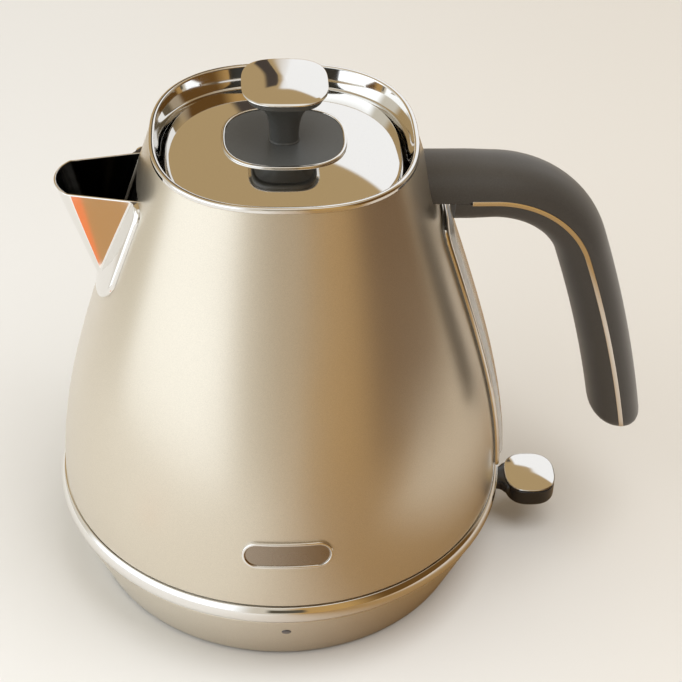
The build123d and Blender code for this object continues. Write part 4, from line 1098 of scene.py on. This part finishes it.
class KETTLE_OT_lid(bpy.types.Operator):
    """Chrome lid with a turned-down edge, and its knob."""

    bl_idname = "kettle.lid"
    bl_label = "Lid and knob"

    def execute(self, context):
        lid = context.scene.kettle_lid

        # cover: its face rises by crown * (1 - (offset / half)^power), cut flat under the knob's plate
        half, face, low, sheet = cover_high.x, cover_high.z, cover_low.z, 0.9 * MM
        under = face - sheet
        inner = half - sheet
        corners = [(0, face), (half, face), (half, low), (inner, low), (inner, under), (0, under)]
        outline = rounded(corners, [0, 0.8 * MM, 0.2 * MM, 0.2 * MM, 0.4 * MM, 0], closed=False)
        outline = np.concatenate([level_run(0, half - 1.5 * MM, 34, face)[:-1], outline[1:]])
        dome = lid.crown * (1 - (outline[:, 0] / half) ** lid.crown_power)
        outline[:, 1] += np.minimum(dome, lid.crown_flat)
        points = around(turned(outline), lid.cover_power, columns=240)
        add_piece("lid_cap", [(points, False, True, None)], "Chrome", "lid", "lid_cover")

        # knob's neck and plate; the dome hides all of the neck
        inset = lid.trim + 0.05 * MM
        plate_half, plate_depth = plate_high.x - inset, plate_high.y - inset
        plate_foot, plate_top = plate_low.z, plate_high.z - 0.3 * MM
        wide, deep, shoulder = lid.neck_width, lid.neck_depth, 0.8 * MM
        neck = np.array([
            (0, 0, face), (wide, deep, face), (wide, deep, plate_foot - 0.6 * MM),
            (wide + shoulder, deep + shoulder, plate_foot), (plate_half, plate_depth, plate_foot),
            (plate_half, plate_depth, plate_top), (0, 0, plate_top),
        ])

        # stem from a small bead on the plate to the cap's bed; it widens by 1 + (flare - 1) * share^power
        share = np.linspace(0, 1, 30)
        stem_half = lid.stem * (1 + (lid.stem_flare - 1) * share**lid.flare_power)
        height = plate_top + share * (bed_low.z - plate_top)
        bead, sunk = 1.06 * lid.stem, plate_top - 0.1 * MM
        foot = [(0, 0, sunk), (bead, bead, sunk), (bead, bead, plate_top + 0.35 * MM),
                (lid.stem, lid.stem, plate_top + 0.5 * MM)]
        stem = np.concatenate([foot, np.stack([stem_half, stem_half, height], 1)[2:], [(0, 0, bed_low.z)]])
        base = add_piece(
            "knob_stem",
            [
                (around(neck, lid.knob_power, columns=160), False, True, None),
                (around(stem, lid.knob_power, columns=96), False, True, None),
            ],
            "Knob plastic", "lid", "knob_base",
        )
        thicken(base, 0, edge=0.35 * MM, segments=3, limit=radians(40))

        # chrome ring around the plate
        corners = [(-lid.trim, plate_low.z), (0, plate_low.z), (0, plate_high.z), (-lid.trim, plate_high.z)]
        ring = rounded(corners, [0.1 * MM, 0.3 * MM, 0.6 * MM, 0.3 * MM])
        points = around(grown(ring, plate_high.x, plate_high.y), lid.knob_power, columns=200)
        add_piece("knob_ring", [(points, True, True, None)], "Chrome", "lid", "knob_trim")

        # dark bed, whose offset of -1 reaches past the middle, where grown() stops, and the cap on it
        seam = cap_low.z + lid.cap_seam
        corners = [(-1, bed_low.z), (0, bed_low.z), (0, seam), (-1, seam)]
        bed = rounded(corners, [0, 1.2 * MM, 0.1 * MM, 0], closed=False)
        points = around(grown(bed, bed_high.x, bed_high.y), lid.cap_power, columns=160)
        add_piece(
            "knob_seat", [(points, False, True, None)], "Knob plastic", "lid", "knob_bed"
        )
        cushion = crowned(
            seam, cap_high.z, min(cap_high.x, cap_high.y), radii=[0.3 * MM, 1.5 * MM], first=-1.7 * MM,
            count=24, steps=10, drop=lid.cap_crown,
        )
        points = around(grown(cushion, cap_high.x, cap_high.y), lid.cap_power, columns=200)
        add_piece("knob_top", [(points, False, True, None)], "Chrome", "lid", "knob_cap")
        return {"FINISHED"}


class KETTLE_OT_handle(bpy.types.Operator):
    """Two halves of the grip and the chrome strip in their seam."""

    bl_idname = "kettle.handle"
    bl_label = "Handle"

    def execute(self, context):
        jug, handle = context.scene.kettle_jug, context.scene.kettle_handle
        power, sunk = handle.power, -0.3 * MM
        j = np.linspace(0, 1, 49)

        def parting(run, side):
            """A half's edge, from the centre line: at the seam, and beside the strip once that starts."""
            share = np.clip((run - handle.inlay_start) / (0.3 * MM), 0, 1)
            open_half = share * (handle.inlay / 2 - 0.05 * MM)
            return handle.seam + side * (open_half + 0.05 * MM)

        def swell(run):
            """The grip is a hair thicker over the bracket in its root."""
            return handle.root_swell * np.clip((handle.bend_start - run) / (8 * MM), 0, 1)

        def half_section(side):
            """One half of |across / wide|^power + |outward / thick|^power = 1, cut off at the seam."""

            def section(inset, run):
                wide, thick = handle.half_depth - inset, handle.half_thickness - inset + swell(run)
                lift = parting(run, side) / thick
                start = np.arcsin(np.clip(np.abs(lift), 0, 1) ** (power / 2)) * np.sign(lift)
                angle = start + j * (pi - 2 * start) if side > 0 else start - j * (pi + 2 * start)
                c, s = np.cos(angle), np.sin(angle)
                across, outward = np.sign(c) * np.abs(c) ** (2 / power), np.sign(s) * np.abs(s) ** (2 / power)
                return wide * across, thick * outward

            return section

        def root_reach(across, outward, side):
            """Where a half starts: the outer one just inside the shell, the inner one at its own distance."""
            reach = jug_reach(across, handle.level + outward, jug, sunk)
            return reach if side > 0 else 0 * reach + handle.inner_start

        for side, name, node in ((1, "grip_outer", "handle_outer"), (-1, "grip_inner", "handle_inner")):
            section = half_section(side)
            across, outward = section(0.0, np.full(j.shape, handle.inlay_start - 5 * MM))
            body = handle_sheet(section, root_reach(across, outward, side), handle)
            shrink = np.linspace(0, 1, 4)[:-1, None]
            across, outward = across * shrink, outward * shrink
            root = np.stack([root_reach(across, outward, side), across, handle.level + outward], -1)
            points = np.concatenate([root, body])
            piece = add_piece(name, [(points, False, True, None)], "Soft-touch grip", "jug", node)
            thicken(piece, 0, edge=0.35 * MM, segments=2, limit=radians(50))

        def strip_section(inset, run):
            """The strip's section follows the grip's skin on both sides and stands a hair out of it."""
            wide, thick = handle.half_depth - inset, handle.half_thickness - inset
            step = np.concatenate([np.linspace(-1, 1, 7), np.linspace(1, -1, 7)])
            outward = handle.seam + step * (handle.inlay / 2 - 0.04 * MM)
            side = np.concatenate([np.ones(7), -np.ones(7)])
            across = wide * (1 - np.abs(outward / thick) ** power) ** (1 / power) + handle.inlay_proud
            return across * side, outward + 0 * run

        start = np.full(14, handle.inlay_start + 0.3 * MM)
        body = handle_sheet(strip_section, start, handle, cap_rows=1)
        points = np.concatenate([pole(body[:1]), body])
        strip = add_piece(
            "grip_strip", [(points, False, True, None)], "Chrome", "jug", "handle_inlay"
        )
        thicken(strip, 0, edge=0.2 * MM, segments=2, limit=radians(50))
        return {"FINISHED"}


class KETTLE_OT_gauge(bpy.types.Operator):
    """Chrome frame and clear window of the water gauge."""

    bl_idname = "kettle.gauge"
    bl_label = "Water gauge"

    def execute(self, context):
        jug, gauge = context.scene.kettle_jug, context.scene.kettle_gauge

        def skin(rows):
            return np.stack([on_flank(line[:, 0], line[:, 1], grow, jug, "x") for line, grow in rows])

        # rails: from the seat over two rounded edges, each row one outline (inset, height over the shell)
        seat, rail, high = gauge.seat, gauge.rail, gauge.proud
        edge = roundover(0.9 * MM, steps=7)
        rows = [(trapezoid(rail, gauge), seat), (trapezoid(0, gauge), seat)]
        rows += [(trapezoid(inset, gauge), high - drop) for inset, drop in edge]
        rows += [(trapezoid(rail - inset, gauge), high - drop) for inset, drop in reversed(edge)]
        rails = add_piece(
            "gauge_rails", [(skin(rows), True, True, None)], "Chrome", "jug", "gauge_frame"
        )
        thicken(rails, 0, edge=0.22 * MM, segments=3, limit=radians(50))

        # window: closed at the back and the front towards its upright middle line
        high, inner, edge = gauge.lens_proud, rail + 0.1 * MM, roundover(1.8 * MM, steps=9)
        outline = trapezoid(inner, gauge)
        reach = gauge.top_half
        level = np.clip(outline[:, 1], gauge.foot + reach, gauge.top - reach)
        spine = np.stack([0 * level, level], 1)
        rows = [(spine + (outline - spine) * f, seat) for f in np.linspace(0, 1, 7)]
        rows += [(trapezoid(inner + inset, gauge), high - drop) for inset, drop in edge]
        top = rows[-1][0]
        rows += [(spine + (top - spine) * f, high) for f in np.linspace(1, 0, 9)[1:]]
        add_piece(
            "gauge_lens", [(skin(rows), False, True, None)], "Clear window", "jug", "gauge_window",
        )
        return {"FINISHED"}


class KETTLE_OT_badge(bpy.types.Operator):
    """Bare capsule-shaped plate with a raised rim, and the lamp's lens below it."""

    bl_idname = "kettle.badge"
    bl_label = "Badge and lamp"

    def execute(self, context):
        jug, gauge = context.scene.kettle_jug, context.scene.kettle_gauge
        width, height = badge_high.x - badge_low.x, badge_high.z - badge_low.z
        level, half = (badge_high.z + badge_low.z) / 2, height / 2

        def row(inset, grow):
            line = capsule(width, height, inset)
            return on_flank(line[:, 0], level + line[:, 1], grow, jug, "-y")

        high, rim = gauge.badge_proud, gauge.badge_rim
        edge = roundover(0.3 * MM, steps=5)
        rows = [row(inset, 0.05 * MM) for inset in (half, 0)]
        rows += [row(inset, high - drop) for inset, drop in edge]
        rows += [row(rim - inset, high - drop) for inset, drop in reversed(edge)]
        rows += [row(rim + (half - rim) * f, high - gauge.badge_sink) for f in (0, 0.12, 0.5, 1)]
        badge = add_piece(
            "badge_field", [(np.stack(rows), False, True, None)], "Chrome", "jug", "badge_plate",
        )
        # the sunk field takes the satin metal with the dark tan painted reflection
        badge.data.materials.append(bpy.data.materials["Badge field"])
        centres = np.empty(3 * len(badge.data.polygons))
        badge.data.polygons.foreach_get("center", centres)
        side = np.maximum(np.abs(centres[::3]) - (width - height) / 2, 0)
        sunk = half - np.hypot(side, centres[2::3] - level) > rim
        badge.data.polygons.foreach_set("material_index", sunk.astype(np.int32))

        # lamp: a low dome whose foot follows the skirt's lean, with a short wall into the skirt behind it
        lean = (base_high.y - jug.skirt_foot) / (base_high.z - base_low.z)
        centre, radius = (lamp_low.z + lamp_high.z) / 2, (lamp_high.z - lamp_low.z) / 2
        rise, wall = 0.45 * MM, 1.5 * MM
        slope = np.linspace(0, 1, 14)[:, None] * pi / 2
        turn = np.linspace(0, 2 * pi, 40, endpoint=False)[None, :]
        across, up = radius * np.sin(slope) * np.cos(turn), radius * np.sin(slope) * np.sin(turn)
        skirt = jug.skirt_foot + lean * (centre + up - base_low.z)
        dome = np.stack([across, -skirt - rise * np.cos(slope) + 0 * turn, centre + up], -1)
        well = np.stack([across[-1:], -skirt[-1:] + wall, centre + up[-1:]], -1)
        points = np.concatenate([dome, well, pole(well)])
        add_piece(
            "lamp_dome", [(points, False, True, None)], "Signal lamp", "power_base", "lamp_lens"
        )
        return {"FINISHED"}


class KETTLE_OT_lever(bpy.types.Operator):
    """Black lever with its paddle, and the paddle's chrome cap."""

    bl_idname = "kettle.lever"
    bl_label = "Switch lever"

    def execute(self, context):
        lid, gauge = context.scene.kettle_lid, context.scene.kettle_gauge
        middle = [(paddle_low.x + paddle_high.x) / 2, 0, 0]
        width, depth = (paddle_high.x - paddle_low.x) / 2, (paddle_high.y - paddle_low.y) / 2
        low, seam, high = arm_low.z, paddle_low.z, paddle_high.z

        # paddle under the cap
        corners = [(-depth, low), (0, low), (0, seam), (-depth, seam)]
        body = rounded(corners, [0, 1.5 * MM, 0.4 * MM, 0], closed=False) - [0.25 * MM, 0]
        paddle = around(grown(body, width, depth - 0.4 * MM), lid.knob_power, columns=120) + middle

        # arm from its pin, thin at first, that flares along a quarter circle into the paddle
        step = np.linspace(0, 1, 40)[:, None]
        turn = np.linspace(0, 2 * pi, 48, endpoint=False)[None, :]
        start, end = gauge.pivot - 10 * MM, paddle_low.x + 2.5 * MM
        arm_foot, flare = 17.9 * MM, 3.4 * MM
        x = start + (end - start) * step
        near = np.clip((x - (paddle_low.x - flare)) / flare, 0, 0.985)
        half = gauge.arm_half + flare * (1 - np.sqrt(1 - near**2))
        thickens = [gauge.pivot - 4 * MM, gauge.pivot - 3 * MM]
        thick = np.interp(x[:, 0], thickens, [1.2 * MM, 2.3 * MM])[:, None]
        reach = squircle(turn, 5)
        height = arm_foot + thick + thick * reach * np.sin(turn)
        arm = np.stack([x + 0 * turn, half * reach * np.cos(turn), height], -1)
        arm = np.concatenate([pole(arm[:1]), arm, pole(arm[-1:])])
        piece = add_piece(
            "lever_body", [(paddle, False, True, None), (arm, False, True, None)], "Black plastic", "lever",
            "lever",
        )
        thicken(piece, 0, edge=0.2 * MM, segments=2, limit=radians(50))

        # chrome cap, a little smaller than the paddle
        cap_width, cap_depth, crown = width - 0.2 * MM, depth - 1.1 * MM, 0.9 * MM
        cap = crowned(
            seam, high - crown, min(cap_width, cap_depth), radii=[0.25 * MM, 0.35 * MM], first=-0.6 * MM,
            count=16, lift=crown,
        )
        points = around(grown(cap, cap_width, cap_depth), lid.knob_power, columns=140) + middle
        add_piece("lever_top", [(points, False, True, None)], "Chrome", "lever", "lever_cap")
        return {"FINISHED"}


# ---------------------------------------------------------------- stage
# Lamps: name, place, point that it looks at and side of its square, in metres.
LAMPS = (
    ("key_lamp", (-0.85, -0.35, 1.0), (0, 0, 0.1), 0.9),
    ("fill_lamp", (0.45, -0.25, 1.35), (0.1, 0, 0), 1.0),
)
LAMP_TINT = (0.97, 0.985, 1.0)
FLOOR_RADIUS = 3.0


def stand(thing, right, up, back, place):
    """Adds a camera or lamp to the scene, with its axes along right, up and back, at a place."""
    basis = np.eye(4)
    basis[:3, 0], basis[:3, 1], basis[:3, 2], basis[:3, 3] = right, up, back, place
    thing.matrix_world = Matrix(basis.tolist())
    bpy.context.scene.collection.objects.link(thing)


class KETTLE_OT_stage(bpy.types.Operator):
    """Plain pale floor, two lamps, the room around them and the camera."""

    bl_idname = "kettle.stage"
    bl_label = "Stage"

    def execute(self, context):
        stage, tints = context.scene.kettle_stage, context.scene.kettle_finish

        # floor: a disc of rings that widen outwards, a hair under the object's lowest point
        radius = np.concatenate([[0], np.geomspace(0.05, FLOOR_RADIUS, 24)])[:, None]
        turn = np.linspace(0, 2 * pi, 64, endpoint=False)[None, :]
        disc = np.stack([radius * np.cos(turn), radius * np.sin(turn), 0 * radius * turn - 0.01 * MM], -1)
        quads = grid_faces(*disc.shape[:2], False, True)
        mesh = bpy.data.meshes.new("floor")
        mesh.from_pydata(disc.reshape(-1, 3).tolist(), [], quads.reshape(-1, 4).tolist())
        floor = bpy.data.objects.new("floor", mesh)
        context.scene.collection.objects.link(floor)
        mesh.materials.append(floor_finish(tints.floor))

        camera = bpy.data.objects.new("camera", bpy.data.cameras.new("camera"))
        camera.data.lens = stage.focal
        camera.data.sensor_width = 36
        camera.data.clip_start = 0.01
        right, up = np.array(stage.camera_right), np.array(stage.camera_up)
        stand(camera, right, up, np.cross(right, up), stage.camera_place)
        context.scene.camera = camera

        # mirrors see the room's windows instead of the lamps
        for (name, place, aim, size), power in zip(LAMPS, (stage.key_power, stage.fill_power)):
            lamp = bpy.data.lights.new(name, "AREA")
            lamp.shape, lamp.size, lamp.energy, lamp.color = "SQUARE", size, power, LAMP_TINT
            holder = bpy.data.objects.new(name, lamp)
            holder.visible_glossy = False
            back = np.subtract(place, aim)
            back = back / np.linalg.norm(back)
            side = np.cross((0, 0, 1), back)
            side = side / np.linalg.norm(side)
            stand(holder, side, np.cross(back, side), back, place)
        make_world(stage)
        context.scene.view_settings.view_transform = "Standard"
        return {"FINISHED"}


# The floor: a painted soft shadow that makes it darker and warmer towards the handle, and painted
# reflections, tints that only mirrors see. A pair of numbers is where a mask starts and ends, in
# metres along X or Y or from the named place.
# painted shadow: how much darker and warmer the floor gets towards the handle, and where
PAINTED_SHADOW_TINT, PAINTED_SHADOW_ACROSS = (0.90, 0.865, 0.82), (-0.25, 0.26)
# painted reflections that only mirrors see: where the band, spot, strip and ring lie, and their tints
BAND_ACROSS, BAND_FAR_OUT, BAND_IN_FRONT = (-0.06, 0.07), (0.11, 0.19), (-0.21, -0.12)
BAND_PAINTED_REFLECTION, RING_PAINTED_REFLECTION = (0.33, 0.21, 0.09), (0.95, 0.96, 0.97)
SPOT_PAINTED_REFLECTION, STRIP_PAINTED_REFLECTION = (0.47, 0.27, 0.115), (0.85, 0.25, 0.09)
SPOT_PLACE, SPOT_EDGE, RING_EDGE = (-0.129, -0.098, 0), (0.0205, 0.0210), (0.030, 0.042)
STRIP_SIDE, STRIP_EDGE = (-0.79, 0.613, 0), (0.0418, 0.0424)
LONG_RAY = (0.11, 0.14)
TABLE_EDGE = (0.34, 0.46)


def floor_finish(colour):
    """Pale matt floor with a painted soft shadow that darkens and warms it towards the handle, and
    painted reflections where mirrors see it.

    A painted reflection, a tan band, lies on the handle's side; far out it is weaker, but not in front
    of the kettle. Before the spout lies another painted reflection: a tan spot with an orange strip on
    one side and a pale ring around it; only long mirrored rays see these, which the spout sends there
    and the jug's low flank doesn't. Past the table's edge mirrors see the room through the floor.
    """
    material = bpy.data.materials.new("Pale floor")
    material.use_nodes = True
    tree = material.node_tree
    shader, out = tree.nodes["Principled BSDF"], tree.nodes["Material Output"]
    place = (tree.nodes.new("ShaderNodeTexCoord"), "Object")
    split = tree.nodes.new("ShaderNodeSeparateXYZ")
    link(tree, place, (split, "Vector"))
    path = tree.nodes.new("ShaderNodeLightPath")
    mirrored = (path, "Is Glossy Ray")

    warm = soft(tree, (split, "X"), *BAND_ACROSS)
    back = mapped(tree, (split, "X"), 1.0, 0.35, *BAND_FAR_OUT)
    front = mapped(tree, (split, "Y"), 1.0, 0.0, *BAND_IN_FRONT)
    band = maths(tree, "MULTIPLY", warm, maths(tree, "MAXIMUM", back, front))
    away = measured(tree, "DISTANCE", place, SPOT_PLACE)
    ring = mapped(tree, away, 1.0, 0.0, *RING_EDGE)
    spot = mapped(tree, away, 1.0, 0.0, *SPOT_EDGE)
    beside = mapped(tree, measured(tree, "DOT_PRODUCT", place, STRIP_SIDE), 0.0, 1.0, *STRIP_EDGE)
    strip = maths(tree, "MULTIPLY", spot, beside)
    from_spout = maths(tree, "MULTIPLY", mirrored, mapped(tree, (path, "Ray Length"), 0.0, 1.0, *LONG_RAY))

    # painted shadow: the floor's colour darkens and warms towards the handle
    painted_shadow_colour = tuple(part * share for part, share in zip(colour, PAINTED_SHADOW_TINT))
    seen = mixed(tree, tuple(colour), painted_shadow_colour, soft(tree, (split, "X"), *PAINTED_SHADOW_ACROSS))
    # painted reflections that only mirrors see: the tan band on the handle's side, and the tan spot, orange
    # strip and pale ring before the spout
    for gate, mask, tint in (
        (mirrored, band, BAND_PAINTED_REFLECTION),
        (from_spout, ring, RING_PAINTED_REFLECTION),
        (from_spout, spot, SPOT_PAINTED_REFLECTION),
        (from_spout, strip, STRIP_PAINTED_REFLECTION),
    ):
        seen = mixed(tree, seen, tint, maths(tree, "MULTIPLY", gate, mask))
    link(tree, seen, (shader, "Base Color"))
    specks = noise(tree, place, 300.0, 3.0, 0.6)
    link(tree, mapped(tree, specks, 0.6, 0.75), (shader, "Roughness"))
    shader.inputs["Specular IOR Level"].default_value = 0.2

    beyond = mapped(tree, measured(tree, "LENGTH", place), 0.0, 1.0, *TABLE_EDGE)
    cut = tree.nodes.new("ShaderNodeMixShader")
    link(tree, maths(tree, "MULTIPLY", mirrored, beyond), (cut, 0))
    link(tree, (shader, "BSDF"), (cut, 1))
    link(tree, (tree.nodes.new("ShaderNodeBsdfTransparent"), "BSDF"), (cut, 2))
    link(tree, (cut, "Shader"), (out, "Surface"))
    return material


# What mirrors see of the room: colour, turn from the front towards the handle and elevation (both
# from-to, in degrees), softness in degrees, and how much the sine of the upper edge's elevation
# grows per radian of turn away from the back. A later one lies over the ones before it.
ROOM = {
    "lit wall on the handle's side": ((0.50, 0.305, 0.11), (4, 54), (-90, 62), 7, 0),
    "wall on the handle's side": ((0.14, 0.068, 0.018), (38, 110), (-90, 62), 11, 0),
    "pale door behind the handle": ((0.42, 0.34, 0.24), (102, 126), (-90, 40), 7, 0),
    "dark corner behind the handle": ((0.14, 0.11, 0.07), (124, 146), (-90, 40), 6, 0),
    "wall on the spout's side": ((0.70, 0.66, 0.57), (-132, -80), (-90, 62), 8, 0),
    "window in front": ((1.38, 1.43, 1.48), (-96, -20), (-24, 50), 8, 0),
    "ceiling": ((0.95, 0.92, 0.85), (-190, 190), (74, 100), 6, 0),
    "dark door in front": ((0.10, 0.085, 0.06), (-7, 10), (3, 26), 2, 0),
    "window at the back": ((1.0, 1.0, 1.0), (143, 178.5), (-5, 39), 1.0, 0.15),
    "curtain beside it": ((0.07, 0.055, 0.045), (-181, -176), (-5, 36), 0.8, 0),
}
WALL_IN_FRONT, WALL_AT_BACK = (0.66, 0.60, 0.50), (0.45, 0.32, 0.16)
BACKDROP = (0.86, 0.85, 0.82)


def make_world(stage):
    """Mirrors and the even light see the room; the camera and clear pieces see a plain pale backdrop."""
    world = bpy.data.worlds.new("world")
    bpy.context.scene.world = world
    world.use_nodes = True
    tree = world.node_tree
    tree.nodes.clear()
    out = tree.nodes.new("ShaderNodeOutputWorld")
    split = tree.nodes.new("ShaderNodeSeparateXYZ")
    link(tree, (tree.nodes.new("ShaderNodeTexCoord"), "Generated"), (split, "Vector"))
    height = (split, "Z")
    turn = maths(tree, "ARCTAN2", (split, "X"), maths(tree, "MULTIPLY", (split, "Y"), -1.0))
    away = maths(tree, "SUBTRACT", pi, maths(tree, "ABSOLUTE", turn))

    def between(low_value, low_ends, high_value, high_ends):
        """A mask that rises over the low ends and falls over the high ones."""
        return maths(tree, "MULTIPLY", soft(tree, low_value, *low_ends), soft(tree, high_value, *high_ends))

    room = mixed(tree, WALL_IN_FRONT, WALL_AT_BACK, soft(tree, (split, "Y"), 0.0, 0.4))
    for tint, (first, last), (low, high), blur, climb in ROOM.values():
        across = between(
            turn, (radians(first - blur), radians(first + blur)),
            turn, (radians(last + blur), radians(last - blur)),
        )
        upward = between(
            height, (sin(radians(max(low - blur, -90))), sin(radians(low + blur))),
            maths(tree, "MULTIPLY_ADD", away, -climb, height),
            (sin(radians(min(high + blur, 90))), sin(radians(high - blur))),
        )
        room = mixed(tree, room, tint, maths(tree, "MULTIPLY", across, upward))
    around_it = tree.nodes.new("ShaderNodeBackground")
    around_it.inputs["Strength"].default_value = stage.world_strength
    link(tree, room, (around_it, "Color"))
    backdrop = tree.nodes.new("ShaderNodeBackground")
    backdrop.inputs["Color"].default_value = (*BACKDROP, 1)
    path = tree.nodes.new("ShaderNodeLightPath")
    seen = tree.nodes.new("ShaderNodeMixShader")
    link(tree, maths(tree, "MAXIMUM", (path, "Is Camera Ray"), (path, "Is Transmission Ray")), (seen, 0))
    link(tree, (around_it, "Background"), (seen, 1))
    link(tree, (backdrop, "Background"), (seen, 2))
    link(tree, (seen, "Shader"), (out, "Surface"))


# ---------------------------------------------------------------- panel and registration
OPERATORS = (
    KETTLE_OT_finishes,
    KETTLE_OT_shell,
    KETTLE_OT_spout,
    KETTLE_OT_collar,
    KETTLE_OT_bottom,
    KETTLE_OT_lid,
    KETTLE_OT_handle,
    KETTLE_OT_gauge,
    KETTLE_OT_badge,
    KETTLE_OT_lever,
    KETTLE_OT_stage,
)


class KETTLE_PT_panel(bpy.types.Panel):
    """Sizes, colours and steps of the kettle."""

    bl_idname = "KETTLE_PT_panel"
    bl_label = "Electric kettle"
    bl_space_type = "VIEW_3D"
    bl_region_type = "UI"
    bl_category = "Kettle"

    def draw(self, context):
        for step in OPERATORS:
            self.layout.operator(step.bl_idname)
        for name, group in SIZE_GROUPS.items():
            box = self.layout.box()
            box.label(text=name.replace("kettle_", "").capitalize())
            for value in group.__annotations__:
                box.prop(getattr(context.scene, name), value)


def register():
    """Registers the size groups, the operators and the panel."""
    for group in SIZE_GROUPS.values():
        bpy.utils.register_class(group)
    for name, group in SIZE_GROUPS.items():
        setattr(bpy.types.Scene, name, PointerProperty(type=group))
    for step in (*OPERATORS, KETTLE_PT_panel):
        bpy.utils.register_class(step)


def unregister():
    """Takes everything out again in the opposite order."""
    for step in reversed((*OPERATORS, KETTLE_PT_panel)):
        bpy.utils.unregister_class(step)
    for name in SIZE_GROUPS:
        delattr(bpy.types.Scene, name)
    for group in reversed(SIZE_GROUPS.values()):
        bpy.utils.unregister_class(group)


def main():
    """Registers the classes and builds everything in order."""
    register()
    bpy.ops.kettle.finishes()
    bpy.ops.kettle.shell()
    bpy.ops.kettle.spout()
    bpy.ops.kettle.collar()
    bpy.ops.kettle.bottom()
    bpy.ops.kettle.lid()
    bpy.ops.kettle.handle()
    bpy.ops.kettle.gauge()
    bpy.ops.kettle.badge()
    bpy.ops.kettle.lever()
    bpy.ops.kettle.stage()


if __name__ == "__main__":
    main()
